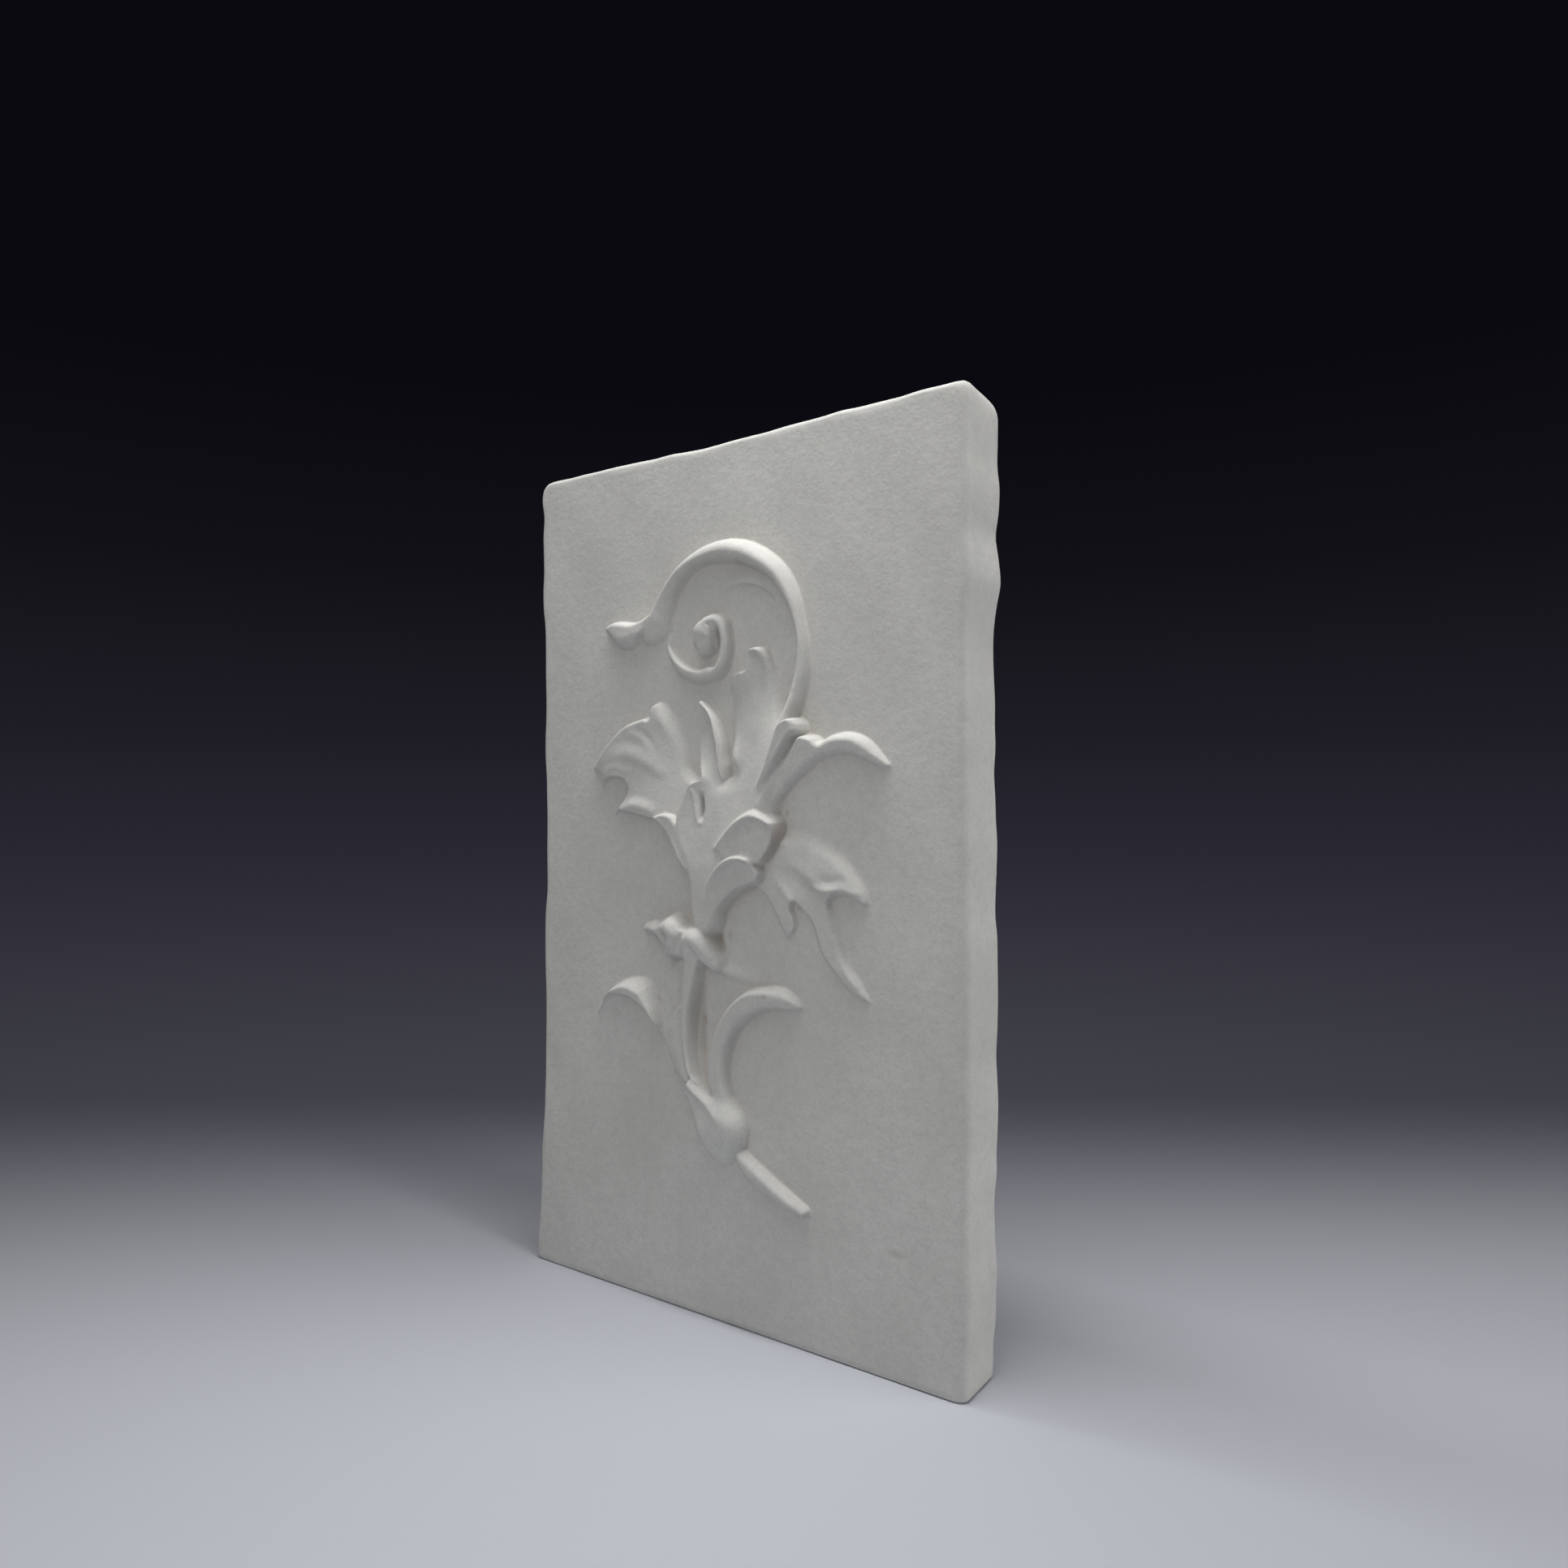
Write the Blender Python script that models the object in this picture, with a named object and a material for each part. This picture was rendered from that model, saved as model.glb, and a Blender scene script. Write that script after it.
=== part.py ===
import bpy
import bmesh
import numpy as np
from math import cos, pi, sin

for old in list(bpy.data.objects):
    bpy.data.objects.remove(old, do_unlink=True)

# all sizes in metres
PANEL_WIDTH = 0.300
PANEL_HEIGHT = 0.500
PANEL_DEPTH = 0.034
RELIEF_DEPTH = 0.016
EDGE_ROUND = 0.003
CORNER_ROUND = 0.006
EDGE_WAVE = 0.0005
FILLET = 0.0012

# how finely the front is laid out before it is thinned, and what is kept of it
COLUMNS = 150
ROWS = 250
EDGE_STEPS = 3
DRAW_IN = 9
KEPT_SHARE = 0.115
SOFTEN_PASSES = 1
PATH_STEPS = 7

# the carving is drawn on a panel 300 wide and 500 high with a relief 16 deep, x from the middle, z from the foot
DRAWN_WIDTH = 300
DRAWN_HEIGHT = 500
DRAWN_RELIEF = 16

# how each flank falls from crest to foot, as powers a and b of (1 - u^a)^b
FLANKS = {
    "round": (2.2, 0.75),
    "soft": (1.8, 1.6),
    "steep": (4.0, 0.9),
    "straight": (1.15, 1.0),
    "hollow": (1.0, 1.7),
}

# every form is a path of rows: x, z, width to the left of travel, width to the right, rise
# way says how it meets what lies under it: raise, set or add
CARVING = [
    # low leaf behind, on the left
    ("left leaf bed", "raise", "soft", "soft", [
        (-12, 300, 12, 12, 5), (-35, 307, 14, 14, 4.5), (-60, 314, 16, 14, 4), (-82, 318, 13, 12, 3),
        (-98, 316, 5, 5, 1.5)]),
    ("left leaf top hump", "raise", "round", "soft", [
        (-55, 341, 4, 5, 2.5), (-50, 346, 4.5, 8, 3.8), (-43, 345, 5, 10, 4), (-34, 336, 6, 12, 3.8),
        (-24, 322, 8, 14, 3.5), (-12, 305, 8, 14, 4)]),
    ("left leaf upper rim", "raise", "round", "soft", [
        (-101, 314, 2, 3, 1.5), (-98, 320, 2.5, 7, 3), (-90, 328.5, 2.8, 12, 4.2), (-78, 336, 3, 14, 5),
        (-66, 340, 3.5, 13, 5.6), (-57, 339.5, 4.5, 9, 6.2), (-50, 333.5, 6, 8, 6), (-42, 324, 8, 10, 5.2),
        (-30, 312, 8, 12, 5)]),
    ("left leaf middle lobe", "raise", "soft", "steep", [
        (-92, 305, 3, 2.5, 2), (-86, 310.5, 6, 4, 4.5), (-77, 312, 8, 4.5, 6), (-66, 309, 9, 5, 6),
        (-50, 303, 10, 6, 5.5), (-32, 298, 10, 8, 5.5)]),
    ("left leaf lower lobe", "raise", "soft", "steep", [
        (-84, 285, 3, 2, 1.5), (-76, 289, 6, 3.2, 4.5), (-64, 289.5, 8, 4.5, 6), (-50, 288, 8, 5, 6.5),
        (-32, 288, 8, 6, 7)]),
    # low leaf behind, on the right
    ("right leaf bed", "raise", "soft", "soft", [
        (18, 250, 14, 14, 4), (40, 252, 22, 14, 4.2), (60, 255, 20, 12, 4.2), (78, 254, 15, 9, 4),
        (92, 248, 7, 6, 2.5)]),
    ("right leaf upper rim", "raise", "round", "soft", [
        (38, 268, 8, 10, 3.5), (58, 269, 7, 10, 4.2), (72, 266.5, 6, 10, 4.8), (82, 260, 6, 10, 5),
        (89, 252, 6, 8, 4.8), (95, 244, 3, 4, 2)]),
    ("right leaf lower rim", "raise", "soft", "steep", [
        (42, 252, 8, 8, 4), (54, 249, 8, 6, 5), (64, 246, 8, 3.5, 6.5), (74, 246, 8, 3, 7),
        (84, 245.5, 7, 2.8, 5.8), (94, 242, 3, 2, 3)]),
    ("right leaf neck", "raise", "soft", "steep", [
        (56, 248, 10, 8, 5), (62, 238, 10, 9, 5.5), (66, 228, 10, 9, 5.2), (71, 217, 8, 8, 4.8),
        (77, 207, 6, 5, 4.8), (86, 197, 4, 4.5, 4.6), (95, 189, 1.5, 2, 2)]),
    ("right leaf inner edge", "raise", "soft", "soft", [
        (24, 248, 4, 8, 4), (33, 241, 4, 9, 4), (39, 232, 3.5, 9, 4), (43, 222, 3, 8, 3.2), (46, 217, 2, 4, 1.5)]),
    ("right leaf hook hollow", "set", "soft", "soft", [
        (46, 236, 2, 2, 1), (51, 233, 3, 3.5, 0.4), (53, 227, 3.5, 4, 0.2), (50, 220, 3, 3, 0.2)]),
    # terrace inside the great scroll
    ("scroll terrace", "raise", "soft", "steep", [
        (1, 418, 7, 2.6, 0.6), (14, 417.5, 8.5, 2.6, 1.8), (27.5, 413, 9, 2.6, 1.9), (36, 404, 8, 2.6, 1),
        (37.5, 398, 7, 2.6, 0.5)]),
    # stem from the foot up to the knot
    ("stem", "raise", "round", "steep", [
        (-19, 134, 9, 4, 9), (-22, 146, 9, 4, 9.5), (-24, 162, 8, 4, 10), (-23, 178, 8, 4, 10.5),
        (-20, 194, 9, 5, 11), (-18, 208, 10, 8, 11)]),
    ("leaf beside the stem", "raise", "round", "soft", [
        (-27, 138, 8, 8, 7), (-30, 149, 8, 8, 8.5), (-30, 160, 7, 7, 9), (-27, 171, 4, 5, 9), (-24, 178, 1.5, 3, 8)]),
    ("left tendril", "raise", "round", "round", [
        (-96, 163, 1.5, 1.5, 1.5), (-91, 170, 3, 3, 3.5), (-84, 178.5, 4, 4.5, 6), (-75, 183, 6, 6.5, 8),
        (-66, 182, 8, 7, 10), (-58, 176, 10, 6, 10.5), (-51, 166, 9, 5, 9.5), (-45, 155, 8, 4.5, 8),
        (-39, 144, 6, 4, 5.5), (-33, 134, 5, 4, 3)]),
    ("right crescent", "raise", "round", "soft", [
        (-4, 130, 5, 12, 7.5), (-3, 142, 6, 12, 8.5), (-1, 154, 6.5, 12, 9), (4, 165, 7, 9, 9),
        (12, 175, 7.5, 8, 8.5), (23, 183, 8, 8, 7.5), (35, 187, 7.5, 6, 6.5), (47, 187.5, 5.5, 4.5, 5),
        (57, 184.5, 2, 1.5, 2)]),
    # pod and rod at the foot of the stem
    ("rod", "raise", "round", "straight", [
        (14, 101, 3.6, 11, 7.5), (30, 92, 3.4, 10.5, 7), (44, 83.5, 3.2, 10, 6.8), (58, 75.5, 2.6, 7.5, 6)]),
    ("pod", "raise", "round", "round", [
        (-8, 130, 10, 11, 11), (-3, 121, 15, 15, 14), (4, 111, 15, 15, 14.5), (9, 102, 12, 12, 12)]),
    ("pod rim", "raise", "round", "steep", [
        (-1, 132, 6, 5, 13), (-11, 133, 5, 4.5, 13.5), (-19, 134, 5, 4, 12.5)]),
    # the great scroll, its bud and its eye
    ("second bud", "raise", "round", "round", [(-57, 391, 5, 5, 5.5), (-51, 393, 4.5, 4.5, 4)]),
    ("bud", "raise", "round", "round", [
        (-50, 403, 7, 4, 7.5), (-58, 397, 9, 4.5, 8), (-66, 394, 9, 5.5, 8.5), (-75, 395, 7, 5, 7),
        (-84, 397.5, 3.5, 2.8, 5), (-89, 398.5, 1, 1, 3)]),
    ("great scroll", "raise", "round", "round", [
        (22, 298, 10, 8, 11), (34, 315, 12, 6, 12), (43, 330, 5, 9, 11), (49.5, 347.5, 4, 5, 8),
        (53.5, 365, 4, 4.5, 6.2), (53, 383, 3.5, 3.5, 6), (48.5, 401, 4, 4, 7.2), (43.5, 410, 5, 5, 8.2),
        (37.5, 418.5, 5.5, 5.5, 9.4), (28.5, 425.5, 6, 6.5, 10.2), (19, 430.5, 6, 7.3, 10.2),
        (-1, 435, 6, 7.6, 9.7), (-12, 433.5, 4.5, 7.6, 9.2), (-21.5, 431, 4, 6.5, 8.8), (-31, 427, 5.5, 4.8, 8),
        (-39, 420.5, 7.5, 3.6, 7.2), (-45, 414, 10, 3.4, 6.8), (-52.5, 403, 13, 3.4, 6.6)]),
    ("volute", "raise", "steep", "round", [
        (-42, 391.5, 2, 2, 1.6), (-41.5, 384.5, 2.2, 2.2, 3.2), (-38, 378.5, 2.5, 3, 4.6), (-32, 373, 2.2, 5, 5.6),
        (-25, 368.5, 2.2, 5.5, 6), (-17.5, 366, 3.2, 5.5, 6.2), (-10, 365.5, 5, 4.8, 6.4), (-4, 367.5, 4, 4.3, 6.6),
        (0, 371, 4.2, 3.8, 6.6), (3, 382.5, 4.3, 3.2, 6.8), (0, 393, 3.2, 4.5, 7.4), (-9, 396, 2.6, 4, 8.4),
        (-12.5, 392.5, 3, 3.6, 8.4)]),
    ("eye", "raise", "round", "round", [(-15, 390.5, 7.5, 7.5, 8.6), (-14.5, 385.5, 7.5, 7.5, 8.4)]),
    # leaf tips inside the scroll
    ("inner leaf bed", "raise", "soft", "soft", [
        (30, 330, 20, 12, 6), (30, 345, 16, 12, 4.5), (29, 358, 11, 9, 3.6), (28, 368, 6, 7, 3)]),
    ("inner leaf tip", "raise", "soft", "round", [
        (40, 350, 6, 8, 6), (39.5, 361, 6, 7, 7.5), (37, 369.5, 6, 6.5, 8.5), (31, 374.5, 5, 4.5, 8.5),
        (23, 376.5, 1.5, 1.5, 5.5)]),
    ("inner leaf small tip", "raise", "soft", "round", [
        (14, 352, 6, 8, 3.5), (12.5, 359, 4, 6, 4), (14, 363.5, 2, 6, 4.6), (18.5, 365, 1.5, 2, 3.6)]),
    # body of the leaf
    ("body", "raise", "round", "soft", [
        (-14, 212, 7, 14, 11), (-12, 228, 9, 14, 11), (-12, 244, 12, 18, 11.5), (-11, 260, 14, 20, 12),
        (-7, 276, 17, 20, 12), (2, 292, 18, 20, 11.5), (12, 306, 14, 16, 11), (24, 320, 10, 12, 11)]),
    ("left cusp", "raise", "steep", "round", [
        (-14, 272, 8, 6, 12), (-25, 279.5, 6, 5, 12.5), (-35, 283, 4, 4, 12), (-43.5, 284.5, 1.5, 1.5, 9)]),
    ("narrow leaf", "raise", "soft", "steep", [
        (8, 296, 6, 6, 11), (5, 308, 6, 4, 11), (4, 320, 5, 3, 10.5), (3, 331, 4.5, 2.8, 10), (-2, 341, 3.5, 3, 9),
        (-10.5, 350, 1, 1, 6)]),
    ("narrow leaf hollow", "set", "soft", "soft", [
        (12, 349, 5, 8, 2), (10, 338, 3.5, 8, 2.5), (9.5, 326, 3, 7, 3.5), (7.5, 314, 1.5, 4, 7)]),
    ("cleft leaf", "raise", "soft", "steep", [
        (-9, 274, 4, 3, 12.5), (-12.5, 286, 4, 2, 12.5), (-16, 298, 4, 2.5, 11.5), (-20.5, 304.5, 1.2, 1.2, 9)]),
    ("cleft", "set", "soft", "soft", [(-8.5, 282, 1.2, 1.2, 8), (-9.5, 290, 2, 2, 5), (-11, 297, 1.4, 1.4, 6)]),
    # fold and lobes on the right, each over the one above it
    ("long lobe near part", "raise", "round", "steep", [
        (30, 298, 5, 6, 5), (42, 313, 4, 15, 6.5), (50, 323.5, 3, 17, 8), (57, 327, 2.8, 16, 9),
        (65, 326, 3, 11.5, 9), (71.5, 323.5, 3.4, 8.5, 8.5)]),
    ("long lobe far part", "raise", "round", "steep", [
        (68, 322, 4, 7, 8.2), (76, 325.5, 3.8, 9, 9.2), (86, 326.5, 4, 10, 9.4), (96, 322, 4.5, 8, 8),
        (104, 315.5, 3.4, 4.5, 5), (109, 310.5, 1.2, 1.5, 2)]),
    ("fold", "raise", "round", "steep", [
        (27, 296, 7, 4, 11), (37, 309, 6, 3.2, 13), (45, 321, 5.5, 3.2, 14.5), (51, 331.5, 5, 3.8, 15),
        (54.5, 335, 4.5, 4, 14)]),
    ("fold groove", "add", "soft", "soft", [(36, 316, 1.6, 1.6, -1), (42, 326, 2, 2, -1.6), (46.5, 334, 1.6, 1.6, -1)]),
    ("upper lobe bed", "raise", "round", "steep", [
        (8, 262, 14, 12, 8), (18, 268, 14, 12, 8.5), (28, 273, 12, 10, 8.5), (34, 275, 7, 8, 8.5)]),
    ("upper lobe rim", "raise", "round", "soft", [
        (1, 270, 5, 7, 10.5), (8, 277, 4.5, 7, 11.5), (16, 283, 4.2, 7, 12.2), (25, 285.5, 4.5, 7, 12.6),
        (33.5, 283, 5, 6, 12.4), (39, 277.5, 3.2, 6, 11.4), (38.5, 270, 2.6, 6, 10), (33, 262.5, 2.6, 5, 8.5)]),
    ("lower lobe", "raise", "round", "steep", [
        (-9, 240, 5, 8, 10), (-4, 251, 4, 13, 11), (3, 259, 3.4, 17, 12), (11, 262.5, 3, 17, 12.6),
        (19, 261.5, 3.2, 13, 12.2), (26, 257.5, 3.4, 7, 10.8), (31, 255.5, 2, 3, 8)]),
    ("hollow beside the knot", "set", "soft", "soft", [(-3, 222, 2, 2, 3), (1, 220, 3, 3, 1), (5, 215, 3, 3, 1)]),
    # the knot
    ("knot point", "raise", "round", "round", [(-38, 219, 5, 5, 9), (-47, 219, 4, 4, 6), (-54, 218, 1.5, 1.5, 2.5)]),
    ("knot left", "raise", "round", "round", [
        (-38, 218, 8, 8, 11), (-30, 220.5, 9, 9, 14.5), (-22, 219, 8, 8, 13)]),
    ("knot hook", "raise", "round", "round", [(-31, 216, 6, 6, 13), (-31, 208, 5, 5, 11), (-29.5, 202.5, 3.5, 3.5, 7)]),
    ("knot right", "raise", "round", "round", [
        (-23, 209, 6, 6, 12), (-15, 212.5, 7, 9, 14), (-7, 210, 7, 9, 13), (-2, 203, 6, 7, 9)]),
    ("gap under the knot", "set", "soft", "soft", [(-14, 198.5, 2, 2, 4), (-10, 200, 4, 3, 1), (-8, 197, 3, 3, 1)]),
    ("dot beside the knot", "set", "soft", "soft", [(-43, 211.5, 2.2, 2.2, 0), (-41.5, 211, 2.2, 2.2, 0)]),
]


def smooth_path(rows):
    """A smooth run of rows through the given ones."""
    knots = np.array([rows[0], *rows, rows[-1]], float)
    found = []
    for a, b, c, d in zip(knots, knots[1:], knots[2:], knots[3:]):
        for t in np.arange(PATH_STEPS) / PATH_STEPS:
            found.append(b + 0.5 * t * (c - a + t * (2 * a - 5 * b + 4 * c - d + t * (3 * (b - c) + d - a))))
    found.append(knots[-2])
    return np.array(found)


def flank(share, kind):
    a, b = FLANKS[kind]
    return (1 - np.clip(share, 0, 1) ** a) ** b


def form_over(x, z, rows, left_kind, right_kind):
    """How far a form reaches at each point, from 0 outside to 1 on its crest, and the rise of its crest there."""
    path = smooth_path(rows)
    nearest = np.full(x.shape, np.inf)
    place = np.zeros(x.shape)
    side = np.ones(x.shape)
    for i, (a, b) in enumerate(zip(path, path[1:])):
        run = b[:2] - a[:2]
        t = np.clip(((x - a[0]) * run[0] + (z - a[1]) * run[1]) / max(run @ run, 1e-9), 0, 1)
        away = np.hypot(x - a[0] - t * run[0], z - a[1] - t * run[1])
        closer = away < nearest
        nearest = np.where(closer, away, nearest)
        place = np.where(closer, i + t, place)
        side = np.where(closer, run[0] * (z - a[1]) - run[1] * (x - a[0]), side)
    steps = np.arange(len(path))
    left, right, rise = (np.interp(place, steps, path[:, k]) for k in (2, 3, 4))
    reach = np.where(side > 0, flank(nearest / left, left_kind), flank(nearest / right, right_kind))
    return reach, rise


def relief(x, z):
    """Height of the carving over the ground, in drawn units."""
    height = np.zeros(x.shape)
    for name, way, left_kind, right_kind, rows in CARVING:
        ends = np.array(rows)
        spread = ends[:, 2:4].max() + 2
        near = (x > ends[:, 0].min() - spread) & (x < ends[:, 0].max() + spread)
        near &= (z > ends[:, 1].min() - spread) & (z < ends[:, 1].max() + spread)
        reach, rise = form_over(x[near], z[near], rows, left_kind, right_kind)
        under = height[near]
        if way == "add":
            height[near] = under + reach * rise
        elif way == "set":
            height[near] = under + reach * (rise - under)
        else:
            over = reach * rise
            blend = FILLET * DRAWN_HEIGHT / PANEL_HEIGHT * np.clip(over / 3, 0.001, 1)
            mix = np.clip(0.5 + 0.5 * (over - under) / blend, 0, 1)
            height[near] = under * (1 - mix) + over * mix + blend * mix * (1 - mix)
    for turn in range(SOFTEN_PASSES):
        inner = height[1:-1, 1:-1]
        around = height[:-2, 1:-1] + height[2:, 1:-1] + height[1:-1, :-2] + height[1:-1, 2:]
        height[1:-1, 1:-1] = 0.5 * inner + 0.125 * around
    return height


def rounded_outline(x, z):
    """Point of a flat rectangle moved so that its corners are round and its edges slightly uneven."""
    half_w = PANEL_WIDTH / 2
    half_h = PANEL_HEIGHT / 2
    core = (half_w - CORNER_ROUND, half_h - CORNER_ROUND)
    side = (np.clip(x, -core[0], core[0]), np.clip(z - half_h, -core[1], core[1]))
    dx, dz = x - side[0], z - half_h - side[1]
    size = np.maximum(np.hypot(dx, dz), 1e-9)
    keep = np.maximum(abs(dx), abs(dz)) / size
    wave_x = EDGE_WAVE * (np.sin(z * 71) + 0.6 * np.sin(z * 143 + 1)) * abs(x / half_w) ** 3
    wave_z = EDGE_WAVE * np.sin(x * 83 + 2) * np.clip(z / half_h - 1, 0, 1) ** 3
    new_x = side[0] + dx * keep + np.sign(x) * wave_x
    new_z = half_h + side[1] + dz * keep + wave_z
    return new_x, new_z


bm = bmesh.new()
bmesh.ops.create_grid(bm, x_segments=COLUMNS, y_segments=ROWS, size=1)
bm.verts.ensure_lookup_table()
flat = np.array([v.co[:2] for v in bm.verts])
grid_x = flat[:, 0].reshape(ROWS + 1, COLUMNS + 1)
grid_z = flat[:, 1].reshape(ROWS + 1, COLUMNS + 1)
raised = relief(grid_x * DRAWN_WIDTH / 2, (grid_z + 1) * DRAWN_HEIGHT / 2).ravel() * RELIEF_DEPTH / DRAWN_RELIEF
half_depth = PANEL_DEPTH / 2
place_x = flat[:, 0] * PANEL_WIDTH / 2
place_z = (flat[:, 1] + 1) * PANEL_HEIGHT / 2
out_x, out_z = rounded_outline(place_x, place_z)
# only the outermost part of the front is drawn in, to leave room for the rounded edge
draw_x = EDGE_ROUND * flat[:, 0] ** DRAW_IN
draw_z = EDGE_ROUND * flat[:, 1] ** DRAW_IN
for vert, x, z, in_x, in_z, up in zip(bm.verts, out_x, out_z, draw_x, draw_z, raised):
    vert.co = (x - in_x, -half_depth - up, z - in_z)
bmesh.ops.reverse_faces(bm, faces=bm.faces)

# the sides and the back grow from the edge of the front, loop by loop
rim = [e for e in bm.edges if e.is_boundary]
home = {}
for vert, x, z in zip(bm.verts, out_x, out_z):
    if vert.is_boundary:
        home[vert] = (vert.co.x, vert.co.z, x, z)
bends = [k / EDGE_STEPS * pi / 2 for k in range(1, EDGE_STEPS + 1)]
loops = [(sin(b), -half_depth + EDGE_ROUND * (1 - cos(b))) for b in bends]
loops += [(share, -y) for share, y in reversed(loops)]
loops.append((0, half_depth))
for share, y in loops:
    grown = bmesh.ops.extrude_edge_only(bm, edges=rim)["geom"]
    rim = [g for g in grown if isinstance(g, bmesh.types.BMEdge) and g.is_boundary]
    moved = {}
    for vert in (g for g in grown if isinstance(g, bmesh.types.BMVert)):
        before = next(e.other_vert(vert) for e in vert.link_edges if e.other_vert(vert) in home)
        moved[vert] = home[before]
        in_x, in_z, far_x, far_z = moved[vert]
        vert.co = (in_x + (far_x - in_x) * share, y, in_z + (far_z - in_z) * share)
    home = moved
bmesh.ops.contextual_create(bm, geom=rim)
bmesh.ops.recalc_face_normals(bm, faces=bm.faces)

panel_mesh = bpy.data.meshes.new("relief_panel")
bm.to_mesh(panel_mesh)
bm.free()
panel = bpy.data.objects.new("relief_panel", panel_mesh)
collection = bpy.data.collections.new("relief_panel")
bpy.context.scene.collection.children.link(collection)
collection.objects.link(panel)

thinned = panel.modifiers.new("thin the even parts", "DECIMATE")
thinned.ratio = KEPT_SHARE

panel_mesh.shade_smooth()
panel_mesh.set_sharp_from_angle(angle=0.9)

plaster = bpy.data.materials.new("plaster")
plaster.use_nodes = True
shader = plaster.node_tree.nodes["Principled BSDF"]
shader.inputs["Base Color"].default_value = (0.74, 0.73, 0.70, 1)
shader.inputs["Roughness"].default_value = 0.85
panel_mesh.materials.append(plaster)
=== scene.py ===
import math

import bmesh
import bpy
import numpy as np
from mathutils import Matrix, Vector


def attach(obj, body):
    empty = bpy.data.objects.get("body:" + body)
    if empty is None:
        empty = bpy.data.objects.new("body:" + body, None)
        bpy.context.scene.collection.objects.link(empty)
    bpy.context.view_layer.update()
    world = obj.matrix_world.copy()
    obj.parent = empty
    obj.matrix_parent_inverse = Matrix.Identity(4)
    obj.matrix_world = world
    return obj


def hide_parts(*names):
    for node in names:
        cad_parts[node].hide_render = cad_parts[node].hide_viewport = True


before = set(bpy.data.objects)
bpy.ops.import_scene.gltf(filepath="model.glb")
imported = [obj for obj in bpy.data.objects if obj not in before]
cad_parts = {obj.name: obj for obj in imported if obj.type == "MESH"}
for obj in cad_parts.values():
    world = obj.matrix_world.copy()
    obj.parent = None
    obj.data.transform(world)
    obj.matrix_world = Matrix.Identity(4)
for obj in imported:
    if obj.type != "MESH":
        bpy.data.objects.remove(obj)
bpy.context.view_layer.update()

print("frame loaded")

# sizes in metres where nothing else is said
panelSizes = {
    "width": 0.3,
    "height": 0.5,
    "depth": 0.034,
    "reliefDepth": 0.016,
    "drawnUnit": 0.001,  # the carving is drawn in this unit
    "drawnWidth": 300,  # on a panel of this size
    "drawnHeight": 500,
    "drawnDepth": 16,  # its relief this deep
    "edgeRound": 0.0035,  # width of the front's rounded edge
    "rightRound": 0.006,  # the right edge is worn rounder
    "edgeDepth": 0.0048,  # how far back the rounding reaches
    "backRound": 0.003,
    "footRound": 0.001,
    "cornerRound": 0.005,  # at the top, on the front
    "footCorner": 0.003,
    "backCorner": 0.014,  # at the top, on the back
    "roundPower": 9,  # how near its rim the front is drawn in for the rounded edge
    "unevenPower": 6,  # how near its rim the front is moved to the uneven edge
    "frontShare": 0.6,  # how much of the right edge's unevenness the front has
    "groundSwell": 0.00018,  # long waves of the ground, and their radians per drawn unit
    "swellWaves": (0.045, 0.032),
    "groundRipple": 0.0001,  # shorter ones
    "rippleWaves": (0.11, 0.07),
    "sideUneven": 0.0003,
    "sideWaves": (95, 160, 90),
    "flatFoot": 0.01,  # below this height the sides are even
    "edgeSteps": 6,
    "sideLoops": 9,
    "backLoops": (0.985, 0.95, 0.88),
    "baseStep": 3.2,  # spacing of the front's points on the plain ground, in drawn units
    "splits": ((6, 0.05), (3, 0.145), (2, 0.27)),  # reach and unevenness from which faces are halved
    "stainAndShadeLimit": 0.2,  # stronger stains and stronger painted shade count as uneven too
    "stainAndShadeUneven": 0.6,  # by this much
    "fieldStep": 0.5,  # spacing at which the carving's height is worked out
    "hollowReach": 17,  # a hollow lies under the mean height this many such steps around
    "outlineRoom": 3,  # how far outside its outline a sheet is worked out
    "ridgeRoom": 2,  # how far beyond its width a ridge is
    "fillet": 0.8,  # how softly forms meet, in drawn units
    "melt": 3.4,  # and where one runs into the next
    "filletRise": 3,  # lower forms meet more sharply
    "riseSoftness": 0.3,  # how softly a sheet's rise runs up to that of its outline
    "softenPasses": 1,
    "pathSteps": 6,
    "sharpAngle": 1.2,  # edges that turn by more than this stay crisp, in radians
}

# how each flank falls from crest to foot, as powers a and b of (1 - u^a)^b
flanks = {
    "round": (2.2, 0.75),
    "soft": (1.8, 1.6),
    "steep": (4.0, 0.9),
    "straight": (1.15, 1.0),
}

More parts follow.
